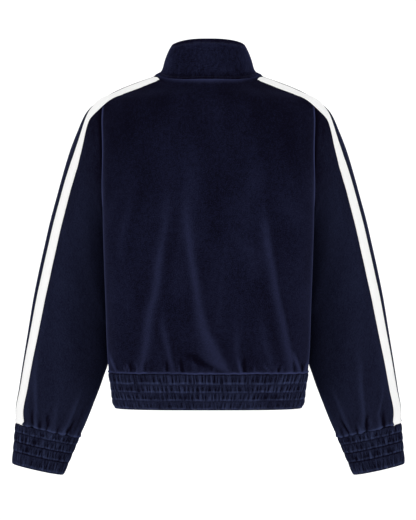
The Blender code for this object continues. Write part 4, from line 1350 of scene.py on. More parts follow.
# For each pucker its start across, lean, length and height, in centimetres
BACK_PUCKERS = (
    (16.2, 1.4, 3.6, 0.18), (14.5, 0.6, 1.3, 0.15), (13.9, 0.6, 1.5, 0.15), (12.6, 0.3, 2.2, 0.11),
    (7.7, 0.1, 1.2, 0.08), (5, 0.3, 1.5, 0.09), (-1, 0.1, 1, 0.07), (-8.1, 0, 1.3, 0.09),
    (-10.8, 1.2, 1.5, 0.13), (-11.9, -0.3, 2, 0.13), (-12.9, -0.2, 1.2, 0.1),
    (-16.1, 1.2, 3.8, 0.18), (-16.9, -0.8, 2.2, 0.16), (-5.75, 0.65, 2.8, 0.16),
    (16.1, 0.2, 1.3, -0.14), (13.7, 0.2, 1.8, -0.15), (12.8, 0.2, 1.6, -0.12), (11.2, -0.2, 2.4, -0.12),
    (7.3, 0, 2.2, -0.14), (4.6, 0.3, 3, -0.12), (-6.4, 0.1, 2.4, -0.15), (-12.2, 0.2, 1.6, -0.14),
    (-15.1, 0.2, 2.4, -0.15), (-16.6, 0.1, 2, -0.14),
)
FRONT_CREASES = (
    Crease(((11.2, -53.4), (9.6, -47), (8.8, -41), (8.2, -33), (7.9, -26)), 1.9, 1.2, 0.45, 0.22),
    Crease(((-10.1, -53.4), (-9.2, -47), (-8.3, -40), (-7.2, -31), (-6.9, -24)), 1.3, 2, 0.46, 0.22),
    Crease(((5.2, -53.2), (4.3, -48), (3.9, -43)), 0.9, 1.1, 0.26, 0.18),
    Crease(((-3.6, -53.2), (-4.4, -49.5), (-4.2, -45)), 0.9, 0.8, 0.22, 0.16),
    Crease(((-6.6, -53), (-6.2, -48), (-5.8, -42)), 1.4, 1.4, -0.24, -0.14),
    Crease(((7.4, -53), (6.7, -47), (6.4, -41)), 1.2, 1.4, -0.22, -0.14),
    Crease(((14.6, -50), (15.4, -38), (15.2, -26)), 1.6, 1.4, 0.22, 0.1),
    Crease(((-14.2, -51), (-15.2, -40), (-15.6, -25)), 1.4, 1.7, 0.24, 0.1),
    Crease(((12.8, -27), (14.6, -21.5), (15.9, -17.5)), 1, 0.8, 0.2, 0.12),
    Crease(((-12.4, -28), (-14.2, -22), (-15.7, -17)), 0.9, 1.1, 0.2, 0.12),
    Crease(((3.6, -24), (4.6, -18), (6.4, -12.5)), 1.3, 1.3, 0.14, 0.07),
    Crease(((-4.4, -25), (-5, -19), (-6.9, -12)), 1.3, 1.3, 0.14, 0.07),
)
FRONT_PUCKERS = (
    (17, 0.3, 2.4, 0.15), (14.1, 0.5, 3, 0.18), (12.6, 0.2, 1.9, 0.14), (9.7, -0.3, 2.2, 0.12),
    (7.9, 0.2, 1.7, 0.12), (3.6, 0.2, 2.4, 0.13), (2.2, -0.1, 1.6, 0.1), (-2.6, 0.1, 2, 0.11),
    (-5.4, -0.3, 1.9, 0.12), (-7.9, 0.2, 2.8, 0.15), (-11.6, 0.3, 2.2, 0.13), (-13.2, 0.5, 3.2, 0.18),
    (-15.8, 0.6, 2.6, 0.17),
)


@dataclass
class BodyPanels:
    """The back and the two fronts."""

    torso: TorsoForm
    finishes: Wardrobe
    spacing: float = 3.3 * MM
    back_columns: int = 88
    front_columns: int = 70
    thickness: float = 1.1 * MM
    # The last number of the seam, armhole and waist rolls sets a painted highlight along the crest, over
    # painted shade in the seam
    seam_roll: SeamRoll = SeamRoll()
    armhole_roll: SeamRoll = SeamRoll(1.2 * MM, 3.2 * MM, 2.6 * MM, 1.6 * MM, 1.0 * MM, 3.6)
    waist_roll: SeamRoll = SeamRoll(1.8 * MM, 0.9 * MM, 1.7 * MM, 0.6 * MM, 0.5 * MM, 2.1)
    neck_roll: SeamRoll = SeamRoll(1.3 * MM, 3.2 * MM, 3.4 * MM, 0.3 * MM, 0.8 * MM, 1.0)
    # Painted highlight along the neck seam
    neck_painted_highlight: Bump = Bump(1.6, 5.4 * MM)
    # Painted shade: darker over the upper back, along the shoulders and on the upper sides
    high_up: Ramp = Ramp(-26.0 * CM, 22.0 * CM)
    high_shade: float = -0.15
    shoulder: Ramp = Ramp(-7.0 * CM, 4.0 * CM)
    shoulder_shade: float = -0.14
    aside: Ramp = Ramp(5.0 * CM, 9.0 * CM)
    aside_shade: float = -0.17
    pucker_seam: float = 0.25
    sag_width: float = 6.0 * MM
    neck_rise: float = 3.0 * MM
    stitch_inset: float = 6.0 * MM
    stitch_width: float = 1.1 * MM
    stitch_depth: float = 0.5 * MM

    def creased(self, points: Array, outward: float, creases: Creases, puckers: tuple) -> Patch:
        """A panel with its creases and the puckers that stand on the waist seam, their painted highlights
        and shade, and painted shade over its upper part.

        Args:
            points: The plain panel.
            outward: Which way its faces turn.
            creases: Its creases.
            puckers: Its puckers.

        Returns:
            The panel.
        """
        patch = Patch(self.torso.corner_sunk(points), False, outward)
        every = (*creases, *pucker_creases(puckers, self.torso.waist_seam / CM + self.pucker_seam))
        height, shade = crease_lift(every, points[..., 0] / CM, points[..., 2] / CM)
        # Painted shade over the upper back, the shoulders and the upper sides
        high = self.high_up.over(points[..., 2])
        shade = shade + self.high_shade * ease(high)
        shade = shade + self.shoulder_shade * self.shoulder.over(points[..., 2])
        shade = shade + self.aside_shade * high * ease(self.aside.over(np.abs(points[..., 0])))
        return patch.lifted(height, shade)

    def drooped(self, patch: Patch, uneven: Array) -> Patch:
        """A panel that sags unevenly over the waistband and rises a little at the neck.

        Args:
            patch: The panel, from the waist seam up.
            uneven: How much more or less it sags at each point.

        Returns:
            The panel.
        """
        up = lengths_along(patch.points)
        droop = MM * (1.9 + 0.7 * uneven) * bell(up, self.sag_width)
        droop = droop - self.neck_rise * bell(up[-1:] - up, self.sag_width)
        return replace(patch, points=patch.points - droop[..., None] * np.array([0.0, 0.0, 1.0]))

    def rolled(self, patch: Patch, edges: tuple[bool, bool]) -> Patch:
        """A panel whose edges roll down into their seams, but not along the shoulder, with painted
        highlights on the rolls and painted shade in the seams.

        Args:
            patch: The panel, from the waist seam up.
            edges: Whether its first and its last column are side edges.

        Returns:
            The panel with its rolls.
        """
        across = lengths_along(patch.points, 1)
        up = lengths_along(patch.points)
        down = up[-1:] - up
        turns = self.torso.rows(self.spacing)[1]
        beside = below_shoulder(turns) * (turns < math.pi)
        beside = np.convolve(np.pad(beside, 4, mode="edge"), np.ones(9) / 9, mode="valid")[:, None]
        side_seam = (turns == math.pi)[:, None] * (1.0 - beside)
        # How strong the painted highlight along the armhole roll is, growing away from the armhole's top
        lit = 0.7 + 0.45 * np.minimum(turns / QUARTER, 1.0)[:, None]
        turn = patch.points[..., 0] / (19.0 * CM)
        uneven = wander(turn, 81, (3, 7, 13, 23, 37)) + 0.5 * wander(turn, 82, (61, 83, 107))
        patch = self.drooped(patch, uneven)
        height = self.waist_roll.lift(up) + self.neck_roll.lift(down)
        # Painted highlight along the waist roll over painted shade in its seam, and a painted highlight
        # along the neck
        shade = self.waist_roll.painted_roll_shading(up) * (1.0 + 0.35 * np.roll(uneven, 3, axis=1))
        shade = shade + self.neck_painted_highlight.over(down) * (0.35 + 0.75 * bell(turn, 0.3))
        for wanted, distance in zip(edges, (across, across[:, -1:] - across)):
            if wanted:
                height += beside * self.armhole_roll.lift(distance)
                height += side_seam * self.seam_roll.lift(distance)
                # Painted highlight on the armhole and side seam rolls, painted shade in their seams
                shade += lit * beside * self.armhole_roll.painted_roll_shading(distance)
                shade += side_seam * self.seam_roll.painted_roll_shading(distance)
        return patch.lifted(height, shade)

    def back(self) -> None:
        """The back, in one piece from side seam to side seam."""
        half = self.torso.half_panel(Side.BACK, self.back_columns, self.spacing)
        points = np.concatenate([half, Hand.RIGHT.place(half[:, -2::-1])], axis=1)
        patch = self.creased(points, -1.0, BACK_CREASES, BACK_PUCKERS)
        patch = self.rolled(patch, (True, True))
        obj = cloth_object("back_panel", patch, self.finishes.velour, self.thickness)
        own(obj, "navy_velour", "back")

    def front(self, hand: Hand) -> Pair:
        """One front, from its side seam to the zip.

        Args:
            hand: Which front.

        Returns:
            The points and normals of its line of topstitching, beside the zip.
        """
        half = self.torso.half_panel(Side.FRONT, self.front_columns, self.spacing)
        patch = self.creased(hand.place(half), float(hand.value), FRONT_CREASES, FRONT_PUCKERS)
        patch = self.rolled(patch, (True, False))
        across = lengths_along(patch.points, 1)
        from_zip = across[:, -1:] - across
        groove = bell(from_zip - self.stitch_inset, self.stitch_width)
        height = self.seam_roll.lift(from_zip) - self.stitch_depth * groove
        # Painted shade in the groove of the topstitching
        patch = patch.lifted(height, -0.35 * groove)
        obj = cloth_object(f"front_panel_{hand.word}", patch, self.finishes.velour, self.thickness)
        own(obj, "navy_velour", f"front_{hand.word}")
        column = -1 - int(round(self.stitch_inset / np.mean(from_zip[:, -2])))
        return patch.points[2:-2, column], patch.normals()[2:-2, column]

    def build(self) -> None:
        """Make the back and the fronts with their topstitching."""
        self.back()
        lines = [self.front(hand) for hand in Hand]
        own(StitchRow().build("front_topstitch", lines, self.finishes.navy_thread), "navy_velour")


# ---- sleeves


def sleeve_creases(table: tuple[tuple, ...]) -> Creases:
    """Creases of a sleeve, with their places turned from shares into heights."""
    return tuple(Crease(tuple((a, -share) for a, share in line), *rest, 0.03) for line, *rest in table)


# For each crease its (degrees, share) places from the cuff, half widths, height and shade
LEFT_CREASES = sleeve_creases((
    (((76, 1), (69, 0.975), (68, 0.952), (60, 0.892), (54, 0.837), (48, 0.77)), 4, 5, 0.2, 0.32),
    (((101, 1), (98, 0.947), (96, 0.92), (95, 0.88)), 3, 4, 0.16, 0.2),
    (((121, 1), (123, 0.955), (125, 0.92), (126, 0.877), (127, 0.83)), 3, 6, 0.24, 0.29),
    (((89, 1), (90, 0.985), (88, 0.965), (86, 0.94)), 3, 3, -0.24, -0.48),
    (((127, 1), (131, 0.97), (134, 0.94)), 4, 3, -0.28, -0.5),
    (((62, 1), (62, 0.975), (60, 0.94)), 4, 3, -0.18, -0.4),
    (((146, 1), (144, 0.97), (144, 0.93), (145, 0.87)), 9, 8, -0.16, -0.12),
    (((156, 1), (158, 0.96), (162, 0.9), (166, 0.8)), 10, 8, 0.18, 0.16),
    (((52, 1), (47, 0.9), (50, 0.8), (52, 0.68), (52, 0.55)), 7, 8, 0.14, 0.1),
    (((200, 1), (214, 0.95), (222, 0.88)), 12, 10, 0.3, 0.16),
    (((236, 1), (244, 0.93), (258, 0.8)), 12, 9, 0.34, 0.18),
    (((262, 1), (266, 0.96), (272, 0.92)), 6, 6, -0.3, -0.3),
    (((288, 1), (284, 0.92), (292, 0.78)), 10, 12, 0.3, 0.16),
    (((318, 1), (322, 0.95), (320, 0.88)), 7, 8, 0.22, 0.14),
    (((196, 0.52), (225, 0.46), (262, 0.42)), 10, 10, 0.3, 0.14),
    (((190, 0.6), (224, 0.55), (256, 0.53)), 9, 8, 0.24, 0.12),
    (((300, 0.5), (276, 0.36), (262, 0.2)), 12, 12, 0.22, 0.1),
    (((150, 0.62), (120, 0.48), (108, 0.34)), 14, 14, 0.16, 0.05),
    (((165, 0.3), (142, 0.2), (128, 0.1)), 12, 10, 0.16, 0.06),
))
RIGHT_CREASES = sleeve_creases((
    (((102, 1), (96, 0.965), (92, 0.927), (87, 0.855), (82, 0.794), (79, 0.72)), 6, 3, 0.24, 0.29),
    (((97, 1), (92, 0.965), (88, 0.94)), 3, 3, -0.26, -0.5),
    (((84, 1), (86.5, 0.975), (88, 0.955)), 2.4, 2.4, 0.14, 0.22),
    (((73, 1), (72, 0.985), (73, 0.96), (68, 0.937), (58, 0.897), (54, 0.84)), 4, 3, 0.2, 0.24),
    (((66, 1), (65, 0.977), (62, 0.945)), 4, 3, -0.18, -0.4),
    (((123, 1), (127, 0.97), (129, 0.927), (131, 0.877), (132, 0.82)), 3, 6, 0.24, 0.29),
    (((129, 1), (133, 0.965), (137, 0.94)), 4, 3, -0.28, -0.5),
    (((154, 1), (157, 0.96), (162, 0.9), (166, 0.8)), 10, 8, 0.18, 0.16),
    (((50, 1), (47, 0.9), (50, 0.8), (52, 0.66), (52, 0.54)), 7, 8, 0.14, 0.1),
    (((204, 1), (216, 0.94), (226, 0.87)), 10, 12, 0.28, 0.16),
    (((240, 1), (252, 0.92), (262, 0.79)), 9, 12, 0.34, 0.18),
    (((270, 1), (272, 0.96), (276, 0.92)), 6, 6, -0.3, -0.3),
    (((294, 1), (290, 0.93), (298, 0.8)), 12, 9, 0.28, 0.16),
    (((324, 1), (326, 0.95), (322, 0.89)), 8, 7, 0.2, 0.14),
    (((192, 0.56), (222, 0.5), (258, 0.46)), 10, 10, 0.28, 0.14),
    (((196, 0.46), (228, 0.4), (264, 0.37)), 9, 9, 0.24, 0.12),
    (((298, 0.54), (280, 0.38), (266, 0.22)), 12, 12, 0.2, 0.1),
    (((148, 0.58), (122, 0.46), (110, 0.3)), 14, 14, 0.16, 0.05),
    (((162, 0.28), (140, 0.18), (126, 0.1)), 12, 10, 0.16, 0.06),
))


@dataclass
class Sleeve:
    """One sleeve from the armhole to the cuff seam."""

    form: SleeveForm
    finishes: Wardrobe
    hand: Hand
    rows: int = 170
    columns: int = 140
    length: float = 66.0 * CM
    # Painted light over the whole sleeve
    base_shade: float = 0.15
    # Painted shade near the top of the sleeve
    top_shade: Bump = Bump(-0.34, 0.13)
    plain_top: Ramp = Ramp(0.0, 0.08)
    # Painted shadow in the valley beside the body
    armhole_painted_shadow: Bump = Bump(-0.65, 9.0 * MM)
    gathers: Bump = Bump(1.0, 12.0 * MM)
    droop: Bump = Bump(1.0, 7.0 * MM)
    flat_outside: Bump = Bump(0.85, 28.0, 20.0)
    full_inside: Bump = Bump(1.6, 60.0, 150.0)
    thickness: float = 1.1 * MM
    # The top roll paints only shade, in the seam beside the body
    top_roll: SeamRoll = SeamRoll(0.0, 4.0 * MM, 3.0 * MM, 2.6 * MM, 5.0 * MM, 0.0)
    # Painted highlight along the hem over the cuff, with painted shade in its seam
    cuff_roll: SeamRoll = SeamRoll(2.3 * MM, 3.0 * MM, 3.0 * MM, 2.4 * MM, 1.2 * MM, 1.7, 0.65)

    def creased(self, share: Array, angle: Array, closed: bool) -> Patch:
        """The creased sleeve, as if it were the left one, with a plain top, painted highlights and shade
        along its creases, painted light all over and painted shade near its top.

        Args:
            share: Shares of its length, from 0 at the armhole to 1 at the cuff.
            angle: Angles round it, in radians.
            closed: True where the angles go all the way round.

        Returns:
            The sleeve.
        """
        patch = Patch(self.form.points(share, angle), closed)
        creases = LEFT_CREASES if self.hand is Hand.LEFT else RIGHT_CREASES
        height, shade = crease_lift(creases, np.degrees(angle), -share, 360.0)
        fade = self.plain_top.over(share)
        # Crease shading, painted light over the sleeve and painted shade near its top
        shade = shade * fade + self.base_shade + self.top_shade.over(share)
        return patch.lifted(height * fade, shade)

    def gathered(self, patch: Patch, share: Array, angle: Array) -> Patch:
        """The sleeve rippled above the cuff, drooping over its seam and rolled down to it, with painted
        highlights on the ripples and along the roll.

        Args:
            patch: The creased sleeve.
            share: The share of its length at each point.
            angle: The angle round it at each point.

        Returns:
            The sleeve.
        """
        cuff = (1.0 - share) * self.length
        degrees = np.degrees(angle)
        loose = 1.0 - self.flat_outside.over(degrees)
        # The creases' painted light and shade, without the painted light over the whole sleeve
        crease_shading = patch.painted_shading - self.base_shade
        ripple = loose * wander(angle, 40 + self.hand.value, (13, 23, 31, 37, 43))
        near = self.gathers.over(cuff)
        # Painted highlight and shade on the ripples near the cuff
        patch = patch.lifted(0.9 * MM * ripple * near, (0.16 + 0.95 * ripple) * near)
        way = unit(np.gradient(patch.points, axis=0))
        sag = 0.6 + 1.3 * loose * wander(angle, 60 + self.hand.value, (7, 11, 17, 23))
        sag = MM * (sag + loose * self.full_inside.over(degrees)) * self.droop.over(cuff)
        patch = replace(patch, points=patch.points + way * sag[..., None])
        # Painted highlight along the roll: brighter on ripples and crease highlights, dimmer in crease
        # shade
        lit = np.clip(1.0 + 0.8 * ripple + 1.6 * crease_shading, 0.1, 1.8)
        return patch.lifted(self.cuff_roll.lift(cuff), lit * self.cuff_roll.painted_roll_shading(cuff))

    def sunk(self, patch: Patch, share: Array, angle: Array) -> Patch:
        """The sleeve sunk below the body's edge round the armhole, but not on the shoulder, with painted
        shadow beside the body.

        Args:
            patch: The sleeve.
            share: The share of its length at each point.
            angle: The angle round it at each point.

        Returns:
            The sunk patch.
        """
        top = share * self.length
        weight = below_shoulder(angle)
        height = weight * self.top_roll.lift(top) - self.form.torso.corner_depth(patch.points)
        # Painted shadow in the valley beside the body and in the armhole seam
        shade = self.top_roll.painted_roll_shading(top) + self.armhole_painted_shadow.over(top)
        return patch.lifted(height, weight * shade)

    def build(self) -> None:
        """Make the sleeve."""
        share = fine_steps(self.rows - 1, True, True, 0.06)
        angle = np.linspace(0.0, TURN, self.columns, endpoint=False)
        share, angle = np.meshgrid(share, angle, indexing="ij")
        patch = self.gathered(self.creased(share, angle, True), share, angle)
        patch = self.sunk(patch, share, angle).placed(self.hand)
        name = f"sleeve_{self.hand.word}"
        obj = cloth_object(f"{name}_shell", patch, self.finishes.sleeve_velour, self.thickness)
        own(obj, "navy_velour", name)


@dataclass
class Cuff:
    """One smocked cuff, doubled over at its edge."""

    form: SleeveForm
    finishes: Wardrobe
    hand: Hand
    smocking: Smocking = Smocking(
        (0.0, 0.21, 0.44, 0.68, 1.0), 37, 2.2 * MM, 1.1 * MM, 1.4 * MM, 3, (0.85, 1.0, 1.0, 0.8),
        lean=2.6, row_painted_shade=1.0,
    )
    columns: int = 518
    rows: int = 46
    reach: float = 1.045
    thickness: float = 3.2 * MM
    inner_step: int = 7
    seam_width: float = 0.02
    right_seed: int = 50

    def build(self) -> None:
        """Make the cuff: smocked outside, round the fold, plain inside."""
        smocking = self.smocking
        if self.hand is Hand.RIGHT:
            smocking = replace(smocking, seed=smocking.seed + self.right_seed)
        share = np.linspace(0.0, self.reach, self.rows)
        angle = np.linspace(0.0, TURN, self.columns, endpoint=False)
        share, angle = np.meshgrid(share, angle, indexing="ij")
        plain = Patch(self.form.cuff_points(share, angle), True)
        height, shade = smocking.lift(share / self.reach, angle)
        seam = bell(share, self.seam_width)
        # Painted shade in the seam
        outer = plain.lifted(height - 1.2 * MM * seam, shade - 0.3 * seam)
        patch = doubled(plain, outer, self.thickness, self.inner_step, INNER_SHADE)
        name = f"cuff_{self.hand.word}"
        obj = cloth_object(f"{name}_shell", patch.placed(self.hand), self.finishes.cuff_velour)
        own(obj, "smocked_velour", name)


# ---- collar and waistband


@dataclass
class Collar:
    """Stand collar of doubled velour, from the zip round the back to the zip."""

    torso: TorsoForm
    finishes: Wardrobe
    top_half_width: float = 6.65 * CM
    top_y: float = 0.60 * CM
    top_back: float = 4.90 * CM
    top_front: float = 8.00 * CM
    top_power: float = 2.2
    back_z: float = 6.05 * CM
    side_z: float = 5.30 * CM
    front_z: float = 0.90 * CM
    rise: tuple[float, ...] = (0.0, 0.10, 0.22, 0.54, 0.82, 1.0)
    lean: tuple[float, ...] = (0.0, 0.20, 0.32, 0.52, 0.77, 1.0)
    front_lean: tuple[float, ...] = (0.0, 0.30, 0.60, 0.95, 1.0, 1.0)
    edge_steps: int = 480
    base_spacing: float = 12.0 * MM
    rows: int = 40
    columns: int = 90
    thickness: float = 2.8 * MM
    seam_roll: SeamRoll = SeamRoll(0.3 * MM, 3.2 * MM, 2.4 * MM, 0.2 * MM, 1.0 * MM, 0.05)
    flare: float = 2.7 * MM
    flare_at: float = 1.4 * MM
    flare_above: float = 6.5 * MM
    flare_below: float = 1.7 * MM
    flare_from: float = 7.6 * CM
    ends_dip: Bump = Bump(-0.8 * MM, 2.0 * MM)
    # Painted light and shade: a highlight at the seam, shade just above it and along the top, a highlight
    # below the top and at the flared sides
    seam_painted_highlight: Bump = Bump(0.6, 1.6 * MM)
    low_painted_shade: Bump = Bump(-0.28, 6.0 * MM, 8.0 * MM)
    side_painted_highlight: Bump = Bump(0.25, 22.0 * MM, 28.0 * MM)
    top_painted_shade: Bump = Bump(-0.50, 4.0 * MM)
    top_painted_highlight: Bump = Bump(0.30, 1.8 * MM, 9.0 * MM)
    stitch_from_top: float = 7.0 * MM
    stitch_from_seam: float = 7.5 * MM
    stitch_width: float = 1.0 * MM
    ripple_from: Ramp = Ramp(0.0, 20.0 * MM)
    inner_step: int = 4

    def top_edge(self, share: Array) -> Array:
        """Upper edge at +X: a superellipse in plan that rises to the back.

        Args:
            share: -1 at the centre front, 0 at the side and 1 at the centre back.

        Returns:
            The points.
        """
        middle = self.edge_steps
        angles = np.radians(np.linspace(-90.0, 90.0, 2 * middle + 1))
        c, s = np.cos(angles), np.sin(angles)
        power = 2.0 / self.top_power
        behind = s >= 0.0
        depth = np.where(behind, self.top_back, self.top_front)
        climb = np.where(behind, self.back_z - self.side_z, self.side_z - self.front_z)
        along = np.sign(s) * np.abs(s) ** power
        x = self.top_half_width * np.abs(c) ** power
        edge = np.stack([x, self.top_y + depth * along, self.side_z + climb * along], axis=-1)
        length = lengths_along(edge)
        side = length[middle]
        place = np.where(share < 0.0, side * (1.0 + share), side + (length[-1] - side) * share)
        return read_along(place, length, edge)

    def outer(self) -> Array:
        """Outer points from the neck seam up, from the zip at +X round to the zip at -X.

        A point's share of the way up is its rise, and its share of the way in is its lean,
        which is another at the front.

        Returns:
            The grid of points.
        """
        front = self.torso.half_panel(Side.FRONT, self.columns, self.base_spacing)[-1]
        back = self.torso.half_panel(Side.BACK, self.columns, self.base_spacing)[-1]
        base = np.concatenate([front[::-1], back[1:]])
        share = np.linspace(-1.0, 1.0, 2 * self.columns + 1)
        top = self.top_edge(share)
        forward = np.clip(-share, 0.0, 1.0)[None, :]
        knots = np.linspace(0.0, 1.0, len(self.rise))
        at = fine_steps(self.rows - 1, True, False, 0.2)
        rise = smooth_curve(knots, self.rise, at)[:, None]
        lean = smooth_curve(knots, self.lean, at)[:, None] * (1.0 - forward)
        lean = lean + smooth_curve(knots, self.front_lean, at)[:, None] * forward
        rise = np.broadcast_to(rise, lean.shape)
        points = base + (top - base) * np.stack([lean, lean, rise], axis=-1)
        points[:, 0, 0] = self.torso.zip_half_opening
        return np.concatenate([points, Hand.RIGHT.place(points[:, -2::-1])], axis=1)

    def build(self) -> None:
        """Make the collar with its two faint rows of topstitching."""
        plain = Patch(self.outer(), False, -1.0)
        up = lengths_along(plain.points)
        down = up[-1:] - up
        across = lengths_along(plain.points, 1)
        ends = np.minimum(across, across[:, -1:] - across)
        aside = np.clip(np.abs(plain.points[:1, :, 0]) / self.flare_from, 0.0, 1.0) ** 6
        height = self.seam_roll.lift(up) + self.ends_dip.over(ends)
        from_tip = up - self.flare_at
        width = np.where(from_tip > 0.0, self.flare_above, self.flare_below)
        height = height + self.flare * aside * bell(from_tip, width)
        # Painted highlights and painted shade over the collar
        shade = self.seam_painted_highlight.over(up) + self.top_painted_shade.over(down) + self.low_painted_shade.over(up)
        shade = shade + self.top_painted_highlight.over(down) + aside * self.side_painted_highlight.over(up)
        rows_of_stitches = ((down, self.stitch_from_top), (up, self.stitch_from_seam))
        for distance, inset in rows_of_stitches:
            groove = bell(distance - inset, self.stitch_width)
            height = height - 0.2 * MM * groove
            # Painted shade in the stitch groove
            shade = shade - 0.05 * groove
        turn = TURN * across / across[:, -1:]
        ripple = wander(turn, 7, (3, 5, 8)) * self.ripple_from.over(up)
        # Painted highlight and shade following the ripple
        outer = plain.lifted(height + 0.5 * MM * ripple, shade + 0.04 * ripple)
        shorter = Patch(outer.points[:-1], painted_shading=outer.painted_shading[:-1])
        patch = doubled(plain, shorter, self.thickness, self.inner_step, 0.0)
        obj = cloth_object("collar_shell", patch, self.finishes.collar_velour)
        own(obj, "navy_velour", "collar")
        lines = []
        column = np.arange(across.shape[1])[2:-2]
        for distance, inset in rows_of_stitches:
            row = np.argmin(np.abs(distance - inset), axis=0)[2:-2]
            lines.append((outer.points[row, column], outer.normals()[row, column]))
        own(StitchRow().build("collar_topstitch", lines, self.finishes.navy_thread), "navy_velour")


@dataclass
class Waistband:
    """Smocked waistband, doubled over at the hem and plain for a little beside the zip."""

    torso: TorsoForm
    finishes: Wardrobe
    height: float = 6.3 * CM
    smocking: Smocking = Smocking(
        (0.0, 0.32, 0.54, 0.76, 1.0), 122, 2.2 * MM, 0.9 * MM, 1.3 * MM, 11, (0.9, 1.0, 1.0, 0.6),
        lean=2.8, leans_both_ways=True,
    )
    columns: int = 1220
    rows: int = 42
    thickness: float = 3.4 * MM
    inner_step: int = 8
    reach: float = 1.03
    plain_at_zip: Ramp = Ramp(0.0, 1.4 * CM)
    tuck: float = 3.0 * MM
    tucked: Ramp = Ramp(0.84, 0.16)
    seam_dip: Bump = Bump(-2.4 * MM, 0.05)
    # Painted shade in a line just below the waist seam
    below_seam_painted_shade: Bump = Bump(-0.35, 0.02, 0.045)

    def build(self) -> None:
        """Make the band: smocked outside, round the fold, plain inside."""
        share = np.linspace(0.0, self.reach, self.rows)
        levels = self.torso.waist_seam - share * self.height
        rings = [self.torso.band_ring(level, self.columns) for level in levels]
        points = np.array([ring for ring, _ in rings])
        along = np.array([length for _, length in rings])
        share = np.broadcast_to(share[:, None], along.shape)
        plain = Patch(points).lifted(-self.tuck * self.tucked.over(share) ** 2)
        height, shade = self.smocking.lift(share / self.reach, TURN * along / along[:, -1:])
        full = self.plain_at_zip.over(np.minimum(along, along[:, -1:] - along))
        height = height * full + self.seam_dip.over(share)
        # The smocking's painted highlights and shade, and painted shade below the seam
        outer = plain.lifted(height, shade * full + self.below_seam_painted_shade.over(share))
        patch = doubled(plain, outer, self.thickness, self.inner_step, INNER_SHADE)
        obj = cloth_object("waistband_shell", patch, self.finishes.smocked)
        own(obj, "smocked_velour", "waistband")


# ---- stripes


